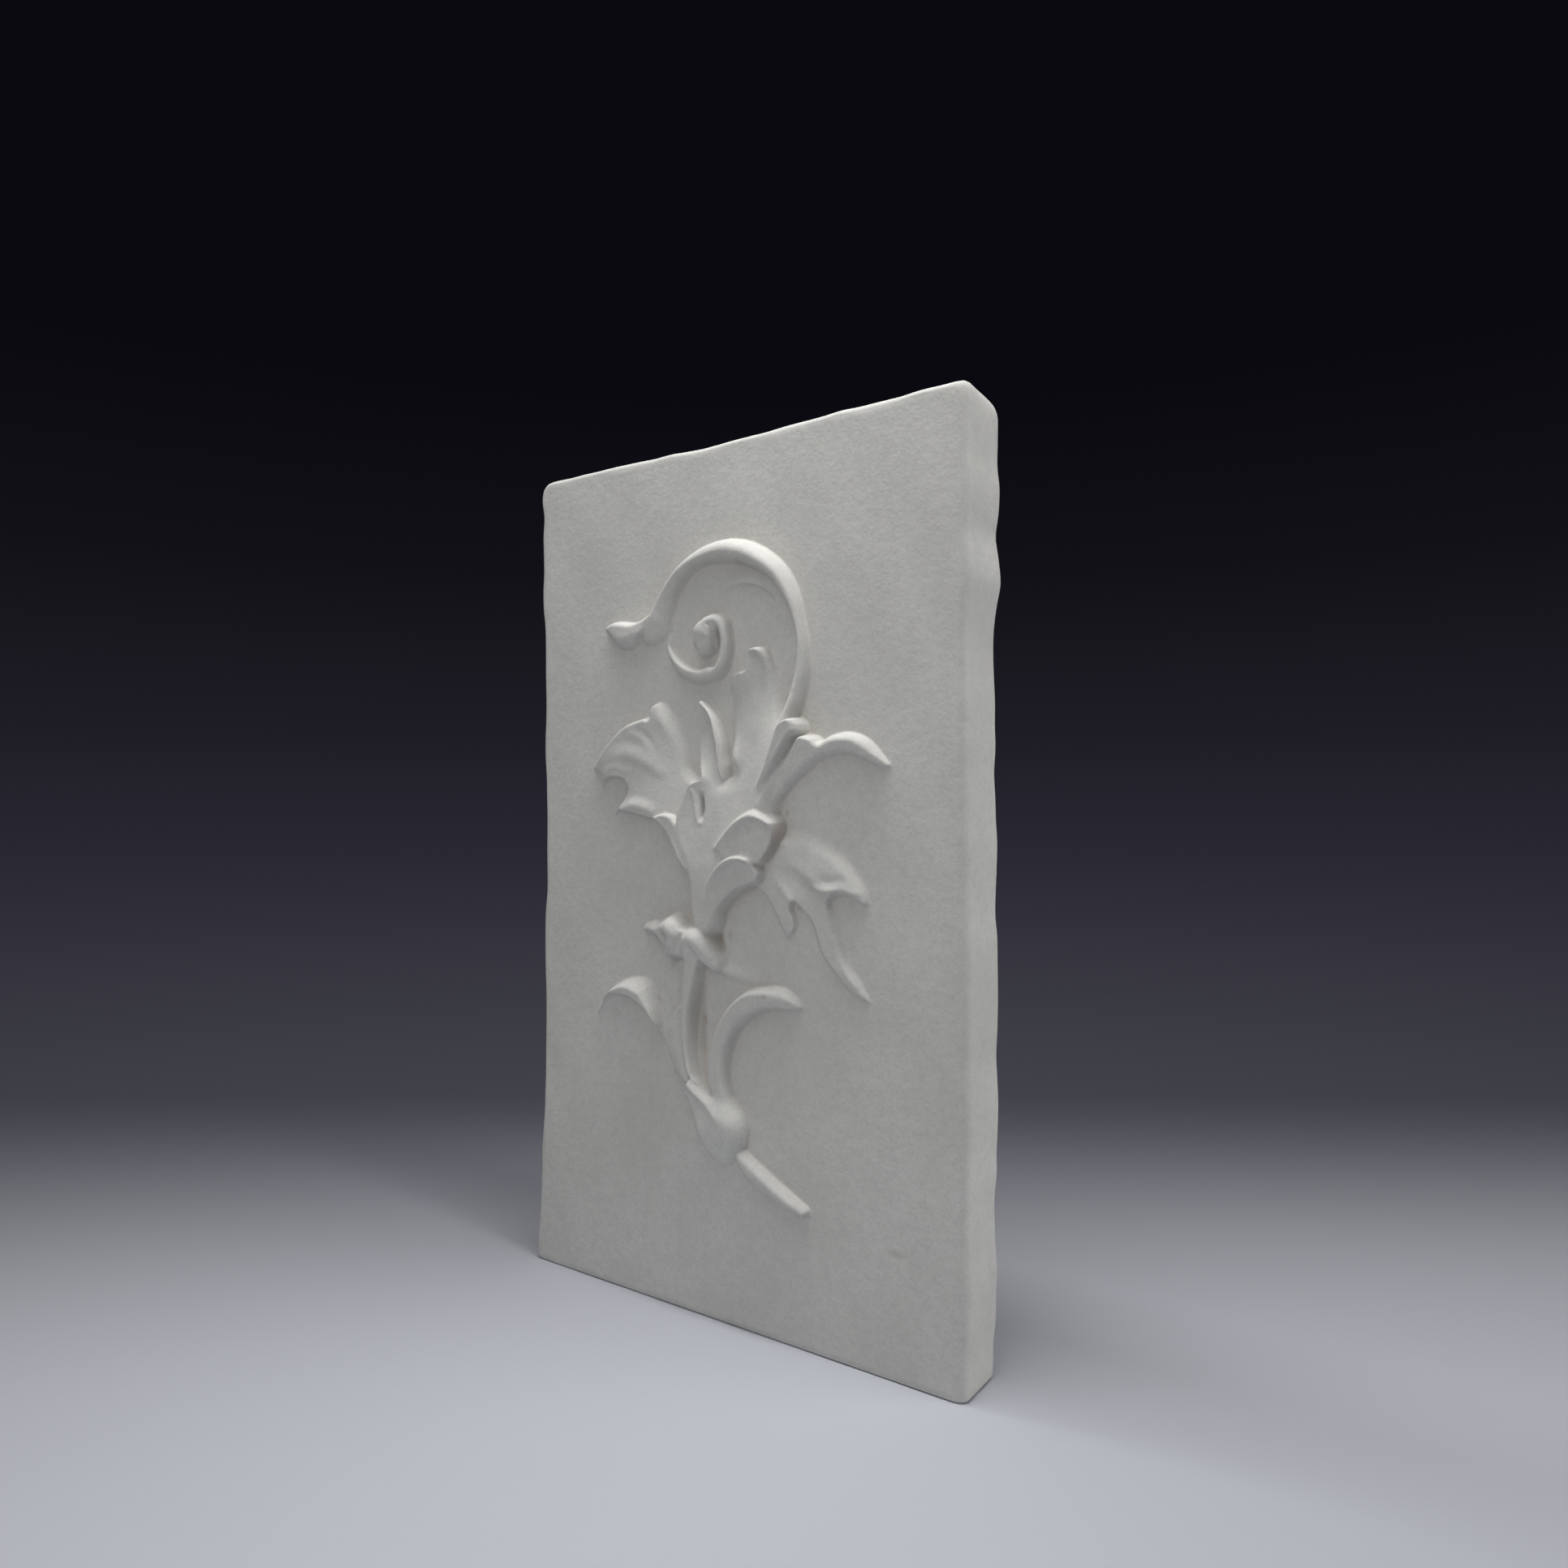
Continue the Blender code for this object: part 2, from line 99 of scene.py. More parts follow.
# every form: name, how it meets what lies under it, its flank, the rows of its path
# raise stands over the rest, melt does so with a wide blend, add changes the height, set replaces it
# a ridge's rows run along its crest: x, z, width to the left of travel, width to the right, rise
# two kinds of flank are those to the left and to the right
# with the word outline it is a sheet, and its rows run round it: x, z, width of its edge, rise
carving = [
    # low leaf behind, on the left
    ("left leaf", "raise", "round outline", [
        (-103.9, 313.3, 1.4, 3), (-99.6, 319.7, 2, 4), (-91.7, 327.4, 2.4, 5.2), (-82.3, 335, 2.6, 5.9),
        (-73.5, 340, 2.7, 6.3), (-65.5, 342.1, 2.8, 6.4), (-59.6, 343.3, 2.8, 6.4),
        (-55.6, 343.1, 2.4, 5.6), (-55.2, 348, 2, 4.6), (-51.9, 351.2, 2.2, 4.6), (-48.2, 351.8, 3, 4.2),
        (-44.5, 349.6, 5, 3.6), (-39.9, 345.1, 7, 3), (-35, 339.6, 8, 2.6), (-31.4, 332.4, 8, 2.4),
        (-28.3, 322.8, 8, 2.6), (-25.2, 310.9, 6, 3.4), (-9.7, 299, 4, 6.4), (0.8, 287.6, 4, 8),
        (-16.9, 272.7, 3, 8), (-37.7, 279.8, 2, 7), (-53.5, 283, 1.4, 6.4), (-61.1, 284.4, 1.4, 6.2),
        (-68.2, 286, 1.4, 6), (-76.3, 287, 1.4, 5.4), (-82.6, 286.7, 1.3, 3.6), (-88, 284.2, 1, 1.2),
        (-85.6, 287.2, 1.6, 2), (-81.6, 291.1, 3, 3.6), (-77.6, 295.1, 3, 4), (-73.8, 299.5, 2, 4.4),
        (-74.2, 303.9, 1.4, 4.8), (-76.9, 306.6, 1.4, 5.2), (-82.4, 307.7, 1.4, 5.4),
        (-87.8, 307.8, 1.4, 5.2), (-92.7, 306.1, 1.3, 4), (-97.1, 303.2, 1, 1.6), (-97.5, 307.1, 1.2, 2.2),
        (-98, 310.2, 1.2, 2.6), (-100.8, 312, 1.2, 2.6)]),
    ("left leaf top hump", "add", "soft", [
        (-50.5, 347.7, 3, 6, 0.5), (-46.9, 343.3, 3.7, 6.7, 0.8), (-42.2, 336.9, 4.3, 7.3, 0.7),
        (-36.9, 329.1, 5, 8, 0.3)]),
    ("left leaf fold", "add", "soft", [
        (-77.7, 333.3, 4, 5, 0.1), (-69, 334.4, 4.2, 5.2, 0.3), (-60.8, 330.8, 4.5, 5.5, 0.4),
        (-53.4, 323.8, 4.8, 5.8, 0.3), (-44.6, 315, 5, 6, 0.1)]),
    ("left leaf swell", "add", "soft", [
        (-91.9, 317, 6, 4, 0.3), (-82.4, 320.2, 8, 5, 0.8), (-70.3, 320.9, 9, 5, 1.1),
        (-57.7, 316.7, 8, 5, 1), (-46.7, 310.2, 6, 4, 0.5)]),
    ("left leaf rim groove", "add", "soft", [
        (-66.7, 336.3, 2, 3, -0.2), (-61, 335.1, 2, 3, -0.4), (-56.3, 332.1, 2, 3, -0.5),
        (-52.2, 327.1, 2, 3, -0.4), (-47.6, 320.8, 2, 3, -0.2)]),
    ("left leaf middle lobe", "add", "soft", [
        (-92.1, 310.5, 3, 2, 0.6), (-86.8, 313.4, 4, 2.3, 0.8), (-79.7, 313.7, 5, 2.7, 0.8),
        (-72.9, 311.2, 6, 3, 0.5)]),
    ("left leaf lower lobe", "add", "soft", [
        (-77.1, 289.2, 4, 3, 0.8), (-68.4, 290.7, 6, 3.4, 1.6), (-60, 289.7, 6, 3.4, 1.6),
        (-52, 287.8, 5, 4, 1)]),
    # low leaf behind, on the right
    ("right leaf", "raise", "soft outline", [
        (35.1, 272.1, 4, 4), (41.7, 278, 10, 3.8), (50.7, 279, 11, 3.8), (58.6, 277.3, 10, 4),
        (65.9, 274.4, 9, 4.2), (73.2, 270.3, 8, 4.4), (78.7, 266.1, 7, 4.4), (84.3, 260.4, 6, 4.2),
        (88.7, 254.6, 5, 4), (92.7, 248.5, 4, 3.8), (94.6, 243.5, 3, 3), (94.1, 238.9, 1.1, 1.4),
        (91.5, 239.7, 1.3, 2.8), (87.5, 241.5, 1.6, 3.8), (83.1, 243.2, 1.8, 4.8), (78.5, 244.1, 1.9, 5.6),
        (75, 243.2, 1.9, 6), (72.4, 240.8, 1.9, 5.6), (71.9, 237.8, 2.2, 4.6), (74.8, 233.2, 5, 4),
        (77.2, 227.4, 6, 3.8), (79.7, 219.9, 6, 3.8), (81.7, 212.4, 6, 3.8), (84.2, 206.7, 5, 3.8),
        (88.7, 201.3, 4.4, 3.4), (92.6, 195.3, 3, 2.6), (95.5, 189, 1, 0.8), (90.7, 190.7, 1.6, 1.6),
        (85.1, 193.1, 2, 2.4), (78.7, 197.6, 2.6, 3), (72.2, 203.8, 3, 3.2), (66.6, 210.2, 3, 3.4),
        (63.5, 216.3, 3, 3.4), (61.4, 223.1, 3, 3.6), (58.8, 228.1, 3.4, 3.8), (55.1, 232.6, 3, 4),
        (51.3, 236.8, 2.2, 4.4), (48.8, 238.5, 1.6, 4.8), (47.8, 234.7, 1.6, 4.4), (49.8, 230, 1.6, 3.8),
        (49.8, 225.2, 1.5, 3.2), (47.7, 221.6, 1.4, 2.4), (44.4, 218.7, 1.2, 1.2), (41.7, 221.2, 1.6, 2),
        (39.3, 225.5, 2, 3), (36.3, 230.6, 2.4, 3.4), (32.6, 236.6, 2.6, 3.6), (27.6, 242.2, 2.8, 3.8),
        (22, 246.4, 3, 4), (19.9, 254, 2, 4), (27.6, 265.3, 2, 4)]),
    ("right leaf lower rim", "add", "soft", [
        (56.1, 252.3, 6, 3.4, 0.5), (61.4, 249.1, 7, 3, 1.7), (66.2, 246.7, 6.4, 2.4, 2.5),
        (71.2, 245.9, 6, 2, 2.6), (76.4, 246.8, 5, 1.8, 2), (82.1, 246.8, 5, 1.6, 1.7),
        (87.6, 244.7, 4, 1.4, 1.3)]),
    ("right leaf middle fold", "add", "soft", [
        (42.6, 256.1, 5, 5, -0.4), (50.6, 252.1, 5.7, 5.3, -1.2), (58.7, 245.5, 6.3, 5.7, -1.2),
        (63.9, 238, 7, 6, -0.6)]),
    ("right leaf tail ridge", "add", "soft", [
        (71.4, 235.7, 4, 3, 0.2), (73.9, 227.3, 3.8, 2.8, 0.5), (76.6, 219.1, 3.6, 2.6, 0.6),
        (79, 210.8, 3.4, 2.4, 0.8), (82.6, 203.9, 3.2, 2.2, 0.8), (87.9, 197.7, 3, 2, 0.5)]),
    ("right leaf inner edge", "add", "soft", [
        (24.9, 243.7, 2, 3, 0.2), (30, 238.6, 2, 3, 0.4), (34.4, 233, 2, 3, 0.4), (37.7, 227, 2, 3, 0.3)]),
    ("right leaf swell", "add", "soft", [
        (46, 257.1, 12, 5, 0.6), (56.1, 255.7, 13, 6, 1.2), (66.5, 254.8, 13, 6, 1.5),
        (76.9, 254.4, 12, 6, 1.2), (84.8, 250.9, 8, 5, 0.6)]),
    ("right leaf inner ridge", "add", "soft", [
        (37.7, 251.1, 4, 4, 0.4), (42.6, 246, 3.7, 3.7, 1.2), (46.5, 241.4, 3.3, 3.3, 1.4),
        (47.4, 237.4, 3, 3, 0.6)]),
    ("right leaf outer hook", "set", "soft", [
        (50.7, 234.8, 1, 1.4, 2.6), (53.3, 230.6, 1, 1.4, 1), (54.4, 225.5, 1, 1.4, 0.2)]),
    # ledge inside the great scroll
    ("scroll ledge", "raise", "soft steep", [
        (-1.2, 414.9, 6, 2, 0.6), (4.4, 416.5, 8, 2, 1.8), (12, 416.7, 8.5, 2, 2.6),
        (20.4, 415.4, 9, 2, 3), (27.5, 413, 9, 2, 2.8), (32.7, 409.4, 9, 2, 2.2), (36.4, 404.2, 8, 2, 1.2),
        (37.5, 397.9, 7, 2, 0.5)]),
    # stem and the leaves beside it
    ("stem", "raise", "round outline", [
        (-28.1, 197.9, 5, 8.6), (-30.2, 189.2, 6, 8.2), (-32.3, 180.5, 8, 8), (-32.5, 171.9, 9, 7.8),
        (-31.9, 163.5, 9, 7.8), (-31.3, 154.3, 9, 7.8), (-28.5, 145.5, 7, 8.2), (-24.3, 138.1, 4, 8.8),
        (-17.7, 133, 3, 10), (-11.7, 131.2, 3, 10), (-12.8, 132.3, 2, 10), (-17.2, 137.7, 3, 9),
        (-19.6, 145.7, 3, 8.6), (-20.9, 154.9, 3, 8.6), (-20.9, 165.1, 3, 8.6), (-19.7, 175.5, 3, 8.8),
        (-17, 186, 3, 9), (-14, 195.5, 3, 9.4), (-11.1, 204.3, 2, 10), (-16.9, 208.2, 3, 10),
        (-24.8, 203.9, 3, 10)]),
    ("leaf beside the stem", "raise", "round outline", [
        (-25.5, 180, 2.4, 8), (-29.5, 176.4, 1.8, 9), (-33, 171.8, 1.6, 9.4), (-35.5, 166.9, 1.6, 9.4),
        (-37.7, 161.4, 1.8, 9), (-39.4, 154.4, 2.6, 8), (-39, 147.7, 3.6, 6.8), (-36.6, 141.3, 4, 6),
        (-31.6, 135.9, 3, 6.4), (-24.2, 131.7, 2, 7), (-18.8, 133.6, 5, 8), (-21.6, 141.9, 6, 7.6),
        (-23.8, 153.1, 7, 7.4), (-24.5, 165.9, 7, 7.2), (-23.3, 175.3, 6, 7)]),
    ("cleft beside the tendril", "add", "soft", [
        (-39.8, 173.3, 1.6, 2, -0.4), (-43.9, 166.7, 1.6, 2, -1.2), (-45.8, 159.4, 1.6, 2, -1.6),
        (-45.5, 151.8, 1.6, 2, -1.6), (-44.2, 144.4, 1.6, 2, -0.8)]),
    ("left tendril", "raise", "straight outline", [
        (-101, 163.6, 1, 1.6), (-96.7, 169.7, 1.2, 3.6), (-91.8, 175.9, 1.3, 5.4),
        (-86.7, 180.4, 2.2, 6.8), (-81.4, 183.7, 3.2, 8), (-75.3, 186.5, 4.4, 8.8), (-69, 188.2, 6.6, 10),
        (-63.9, 188.7, 8.8, 10.6), (-59.3, 188.2, 10, 10.2), (-55, 185.8, 9.6, 9), (-52.6, 181.1, 8, 8),
        (-50, 174.6, 6.4, 7.8), (-48.1, 167.7, 5, 7.6), (-46.5, 160.7, 4, 7), (-45.2, 153.7, 3, 6),
        (-44.2, 146.7, 2, 4.2), (-43.3, 140.4, 1.4, 1.6), (-44, 142.6, 1.6, 4.2), (-44.7, 149, 1.6, 5.8),
        (-47, 155.5, 1.6, 6.8), (-50.1, 162.3, 1.5, 7.4), (-52.7, 166.2, 1.5, 7.8), (-56.9, 169.9, 1.8, 8),
        (-62.3, 172.4, 2.4, 8), (-68.6, 174.2, 3, 7.8), (-75.1, 175, 3.2, 7.4), (-81.8, 175, 3.2, 6.8),
        (-87.2, 174, 3, 6), (-92.1, 171.3, 2.6, 4.8), (-95.5, 167.9, 2.2, 3.4), (-99, 163.1, 1.4, 1.6)]),
    ("right crescent", "raise", "round outline", [
        (-9.2, 134.5, 2.6, 7), (-9.6, 141.8, 3.2, 8), (-8.1, 151.7, 3.4, 8.6), (-5.8, 160.6, 3.4, 8.6),
        (-1.9, 168.8, 3.4, 8.8), (3.3, 176.6, 3.4, 9), (10.2, 183.7, 3.4, 9), (17.1, 188.2, 3.2, 8.8),
        (23.9, 190.5, 3.2, 8.6), (29.9, 191.6, 4.6, 8.2), (36.6, 192.5, 6, 7.8), (42.4, 191.6, 6, 7),
        (47.2, 189.3, 4.4, 5.8), (51.1, 185.7, 2.4, 4), (53.3, 182.4, 1, 1.4), (50.7, 180.8, 1.4, 2.6),
        (44.2, 180.5, 2.2, 4.6), (37.2, 180.2, 2.8, 6), (30.5, 178.8, 3.4, 6.8), (24.4, 176.2, 3.8, 7.2),
        (18.2, 172.3, 4, 7.6), (12.5, 167.2, 4, 7.6), (8.5, 161.3, 4, 7.6), (5.6, 154.6, 4, 7.6),
        (3.9, 147.1, 4, 7), (3.9, 139.3, 5, 6.2), (5.5, 130.6, 5, 5.4), (7.2, 123.5, 4, 5.4),
        (2.3, 120, 4, 6), (-5.5, 125.8, 3, 6.4)]),
    # pod and rod at the foot of the stem
    ("rod", "raise", "round", [
        (12.1, 96.2, 4.4, 4, 6), (21.3, 90.9, 4.4, 9.4, 6.2), (33, 84.4, 4.2, 7.8, 6.2),
        (44.7, 78.5, 4, 6.3, 6), (54.6, 74.3, 3, 3.4, 5)]),
    ("pod", "raise", "round outline", [
        (-22.9, 132.2, 1.6, 9.4), (-19.5, 136.9, 2.4, 9.6), (-15.1, 135.6, 5, 8.6), (-11.6, 133, 6, 8),
        (-6.7, 131.5, 8, 7.2), (-0.5, 131.4, 12, 7), (4.6, 129.4, 13, 7.4), (9.9, 125.5, 13, 8.2),
        (14.3, 120.3, 11.4, 9.8), (16.9, 114, 11.4, 11), (16.9, 106.9, 11, 11.2), (14.3, 99.7, 10, 10.8),
        (8.6, 93.3, 8.4, 8.6), (1.7, 88.8, 8, 7), (-4.8, 90, 8, 6.8), (-11.1, 94.6, 8.6, 8.4),
        (-15.6, 99.9, 10, 11), (-18.7, 105.4, 10, 11), (-20.5, 111, 9, 10.6), (-22, 116.3, 8, 10),
        (-23.9, 122, 6, 9.4), (-25.2, 127.1, 3, 9.2)]),
    ("pod crest", "add", "soft", [
        (-0.6, 116.2, 9, 9, 0.6), (6, 115.7, 10, 10, 0.9), (11.7, 114.9, 9, 9, 0.7)]),
    ("pod underside", "add", "soft", [
        (-8.1, 101.8, 8, 6, -0.8), (-3.2, 98.5, 10, 7, -1.6), (3, 96.9, 11, 7, -2),
        (7.9, 97.3, 10, 7, -1.8), (12.5, 101.5, 8, 6, -0.8)]),
    ("pod rim", "add", "soft", [
        (3.6, 111.2, 3, 2.4, 0.2), (-0.1, 116.8, 3.2, 2.4, 0.8), (-5.6, 122, 3.4, 2.4, 1.3),
        (-11.1, 126.1, 3.6, 2.4, 1.7), (-16.1, 129.5, 3.8, 2.4, 1.8), (-20.7, 132.6, 4, 2.4, 1.2)]),
    # the great scroll with its buds, volute and eye
    ("second bud", "melt", "round", [
        (-57.9, 391.4, 4.6, 4.6, 4.8), (-55.2, 392.4, 5.6, 5.6, 4.6), (-50, 393.9, 5.8, 5.8, 3.8),
        (-46.1, 396, 5.4, 5.4, 3)]),
    ("bud", "raise", "round outline", [
        (-52, 406.4, 3, 7), (-58.1, 403.6, 3.2, 7.4), (-63.2, 401.8, 3.4, 7.6), (-69.2, 401, 3.6, 7.6),
        (-75.1, 401.9, 3.6, 7.2), (-81.3, 402.8, 3.4, 6.4), (-86.9, 402.7, 3, 5.6), (-91.7, 401, 2.4, 4.4),
        (-93.5, 398.6, 2, 3.6), (-91.9, 396.1, 3, 4.4), (-88.4, 393.3, 5, 5.6), (-85.1, 389.6, 6.6, 6.8),
        (-81.2, 386.8, 7.4, 7.8), (-75.1, 385.5, 7.8, 8.4), (-68.6, 386.7, 7, 8.4), (-64.1, 389.2, 5, 8.2),
        (-59.4, 392, 3, 7.8), (-55.7, 395.8, 2.4, 7.2), (-53.5, 401.3, 2.4, 7)]),
    ("crease beside the bud", "add", "soft", [
        (-55.8, 397.7, 1.4, 2.6, -0.4), (-57.2, 392.5, 1.4, 2.6, -1.1), (-64.4, 388.3, 1.4, 2.6, -1.2),
        (-69, 384.8, 1.4, 2.6, -0.4)]),
    ("great scroll", "raise", "round", [
        (43, 330.4, 5, 10.9, 11), (46.2, 339.1, 4, 4.6, 9.5), (49.4, 347.7, 4, 5.2, 8),
        (51.8, 356, 4, 5, 6.8), (53.7, 365, 4, 4.4, 6.2), (54.1, 374.6, 3.6, 3.7, 6),
        (53.3, 383.3, 3.4, 3.3, 6), (51.2, 392.2, 3.6, 3.3, 6.4), (48.3, 401.1, 4.2, 4.1, 7.2),
        (43.6, 410.3, 5, 5.1, 8.2), (37.4, 418.7, 5.4, 5.6, 9.4), (28.7, 425.3, 5.8, 6.6, 10.2),
        (19.1, 430.5, 6.1, 7.3, 10.2), (9.8, 433.6, 6.5, 7.5, 10), (-1, 434.9, 6, 7.6, 9.7),
        (-12.1, 433.5, 4.2, 7.8, 9.2), (-21.5, 430.8, 3.7, 6.9, 8.8), (-30.9, 427, 5.6, 4.8, 8),
        (-39.1, 420.7, 7.4, 3.4, 7.2), (-45.2, 414.1, 9.8, 3.2, 6.8), (-49.5, 407.9, 11.8, 3.6, 6.6),
        (-52.7, 402.9, 13.4, 3.4, 6.6), (-55.5, 398.5, 12.1, 2.6, 6)]),
    ("volute", "raise", "steep round", [
        (-42.8, 390.7, 2, 1.8, 0.8), (-42.2, 384.7, 2.2, 2.2, 2.6), (-38.1, 378.5, 2.5, 2.8, 4.6),
        (-32.2, 372.9, 2.1, 5.2, 5.6), (-25, 368.6, 2.1, 5.6, 6), (-17.5, 366.2, 3.2, 5.6, 6.2),
        (-10.1, 365.7, 5.5, 4.8, 6.4), (-4, 367.3, 3.6, 4.3, 6.6), (0.1, 371.1, 4.2, 3.8, 6.6),
        (2.5, 376.9, 4.3, 3.2, 6.6), (3.2, 382.7, 4.3, 3.1, 6.8), (2.5, 388.7, 4.2, 2.7, 7),
        (0.2, 393.2, 3.2, 4.6, 7.4), (-4.1, 396.3, 2.6, 4.6, 8), (-9.1, 395.8, 2.6, 4, 8.4),
        (-12.7, 392.7, 3, 3.6, 8.4)]),
    ("eye", "raise", "round steep", [
        (-14.4, 386.4, 8.6, 11, 8.2), (-13.2, 390.3, 9, 12.4, 9.2), (-10.1, 393.8, 7, 9, 8.6)]),
    ("slot beside the eye", "set", "soft", [
        (-7.4, 394.5, 0.9, 1, 7.6), (-5.3, 391.7, 1, 1, 6.6), (-5, 388.3, 1.1, 1, 5.2),
        (-5, 384.3, 1.2, 1, 3.4), (-6.4, 380.4, 1.2, 1, 1.6)]),
    # body of the leaf, with its tips and clefts
    ("body", "raise", "round outline", [
        (-7.5, 214.6, 6, 8.4), (-16.4, 214.9, 5, 8.4), (-19.5, 224.8, 4, 9), (-20.7, 235.8, 4, 9.8),
        (-20.4, 245, 3.4, 10.6), (-20.8, 253.3, 2.6, 11.2), (-22.6, 261.1, 2, 11.4), (-26.5, 267, 2, 11.4),
        (-29, 273.4, 3, 11.3), (-30.8, 280.4, 3, 11.2), (-29.6, 286.5, 2.4, 11), (-26.8, 292.1, 2, 10.8),
        (-24.3, 297.7, 1.8, 10.6), (-20.8, 302.8, 1.5, 10.8), (-16.3, 305.2, 1.5, 11),
        (-11.9, 306.8, 1.6, 10.8), (-14.9, 312.4, 2.6, 7.4), (-18, 318.7, 3.6, 4), (-19.4, 327.2, 4, 1.6),
        (-16.1, 334.1, 4, 0.8), (-11.3, 336.3, 4, 0.8), (-7.9, 331.5, 3, 1.6), (-5.1, 324.4, 4, 2.4),
        (-1.1, 316.4, 7, 4), (3.6, 307.6, 12, 7.4), (8.3, 309.3, 9, 8.6), (7.9, 318.4, 3.4, 8.2),
        (6.9, 328.5, 4, 3.6), (5.3, 335.6, 4, 1.2), (4.4, 342.5, 5, 0.3), (3.8, 349, 7, 0.3),
        (3.4, 354.5, 5, 0.7), (4.1, 360.3, 2.4, 3), (9.5, 364.3, 1.4, 5), (12.9, 365.6, 1.4, 5.4),
        (16.4, 366.3, 1.4, 5.6), (17.7, 369.5, 1.6, 5.8), (18.6, 373, 1.6, 6.2), (19.9, 376.9, 1.4, 6.6),
        (23.4, 378.9, 2, 7.2), (27.2, 379, 2.6, 7.4), (30.5, 377.7, 3.4, 7), (32.7, 374.1, 4, 5.4),
        (34.6, 368.7, 5, 3.4), (37.6, 360.9, 7, 1.8), (39.6, 353.3, 8, 1.4), (41.8, 346.1, 8, 1.8),
        (44.1, 338.9, 7, 3), (45.5, 331.6, 6, 8), (44.7, 322.7, 7, 9), (42.2, 313.1, 9, 10),
        (39, 303.1, 12, 10.8), (37.9, 292.1, 12, 11), (38.3, 279, 8, 11), (30.1, 265.6, 5, 11),
        (13.2, 249.5, 4, 10.6), (3.4, 235.6, 5, 9.8), (-0.4, 223.3, 6, 8.6)]),
    ("inner leaf rim", "add", "soft", [
        (33.8, 362.4, 3, 3.4, 0.2), (32.2, 367.8, 3.4, 4.4, 0.9), (30.1, 373.1, 3.2, 4.4, 1.5),
        (26.2, 376.4, 2.6, 3.4, 1.8), (21, 376.4, 1.4, 1.6, 1.2)]),
    ("inner leaf hollow", "add", "soft", [
        (22.7, 373.5, 3, 4.5, -0.9), (24.9, 371.2, 3, 4.5, -1.3), (27.2, 367.1, 3, 4.5, -1),
        (27.9, 359.9, 3, 4.5, -0.6), (27.7, 350.1, 3, 4.5, -0.2)]),
    ("small tip rim", "add", "soft", [
        (13.7, 365.6, 2, 1.6, 0.9), (8.9, 365.2, 2, 1.6, 1), (5.4, 363.8, 2, 1.6, 0.8)]),
    ("body hollow", "add", "soft", [
        (22, 325.7, 7, 7, -0.5), (17.5, 312.3, 7.5, 7.5, -0.8), (10.8, 298.9, 8, 8, -0.8),
        (4.1, 283.1, 8.5, 8.5, -0.6), (-3.2, 264.8, 9, 9, -0.4)]),
    ("under the fold", "melt", "soft", [
        (53.8, 327.3, 5, 5, 4.5), (49.2, 322.2, 5, 5, 5.5), (44.9, 315.7, 5, 5, 6.2),
        (40.8, 309.6, 6, 5, 7.2), (36.9, 304, 8, 5, 8.6), (32.7, 297.8, 10, 5, 9.6),
        (30.2, 291.2, 10, 5, 10)]),
    ("left cusp", "raise", "round outline", [
        (-50.6, 283.8, 0.9, 7), (-45.5, 285.7, 1.4, 9), (-40.5, 286.9, 2, 10.2), (-35.1, 286.5, 2.4, 10.8),
        (-30.8, 284.6, 3, 11), (-25.3, 278.2, 3, 11), (-18.7, 264.5, 3, 11), (-13.8, 248.1, 5, 10),
        (-21.2, 251.3, 3, 10.4), (-27.8, 259.3, 1.4, 11), (-30.5, 263.9, 1.4, 10.8),
        (-33.4, 268.5, 1.4, 10.4), (-36.1, 272.7, 1.4, 10), (-39.2, 276.5, 1.4, 9.8),
        (-43.3, 279.7, 1.3, 9.4), (-48.2, 282.3, 1, 8.2)]),
    ("narrow leaf", "raise", "round outline", [
        (-16.1, 349.2, 0.9, 6.6), (-13.9, 351.3, 1.2, 7.6), (-11.5, 349.6, 1.6, 7.6),
        (-8.3, 346.7, 1.8, 7.2), (-4.9, 342.9, 1.8, 6.8), (-2, 338.6, 1.8, 6.6), (0.6, 332.9, 1.7, 6.6),
        (2.8, 326, 1.8, 6.6), (3.9, 318.6, 2.6, 6.6), (5, 312.1, 4, 7), (4.3, 304.8, 5, 7.6),
        (1, 303, 5, 8), (-1.7, 309.5, 3, 8.4), (-2, 316.8, 2, 9), (-2.6, 325.1, 1.6, 9.6),
        (-4.1, 331.6, 1.4, 9.8), (-5.6, 337.2, 1.2, 9.4), (-7.6, 341.8, 1, 9), (-11.2, 345.9, 0.8, 8)]),
    ("cleft leaf", "add", "soft", [
        (-12.4, 274.7, 1.2, 2, 0.2), (-13.6, 280.6, 1.2, 2, 0.6), (-14.4, 286.1, 1.2, 2, 0.8),
        (-15.3, 291.2, 1.2, 2, 0.8), (-16, 295.3, 1.2, 2, 0.8), (-17.3, 299.5, 1.2, 2, 0.8)]),
    ("cleft leaf crest", "add", "soft", [
        (-23.4, 303.3, 1.6, 2.2, 0.6), (-21.3, 304.3, 1.6, 2.2, 1.1), (-20.2, 305.7, 1.6, 2.2, 1),
        (-18.4, 307.6, 1.6, 2.2, 0.3)]),
    ("cleft", "set", "soft", [
        (-11.6, 299.5, 1.4, 2.2, 9.4), (-10.9, 296.2, 1.4, 2.2, 5), (-10.3, 292.6, 1.4, 2.2, 2.6),
        (-10.1, 288.9, 1.4, 2.2, 3), (-10.5, 285.2, 1.4, 2.2, 6.6), (-10.8, 281.1, 1.4, 2.2, 10.2)]),
    # fold and lobes on the right, each over the one above it
    ("long lobe", "raise", "round outline", [
        (26.8, 285.8, 3, 5), (36.4, 289.9, 3.4, 6), (43.7, 297.8, 4, 6.6), (49.1, 303.1, 4, 6.8),
        (55, 307.8, 4, 6.8), (60.8, 312.1, 4, 6.8), (66.5, 315.2, 4, 6.8), (72.7, 317, 4, 7),
        (79.3, 317.7, 4, 7), (86.8, 316.8, 4, 6.8), (93.3, 314.6, 3.4, 6), (99.1, 311.9, 2.4, 4.4),
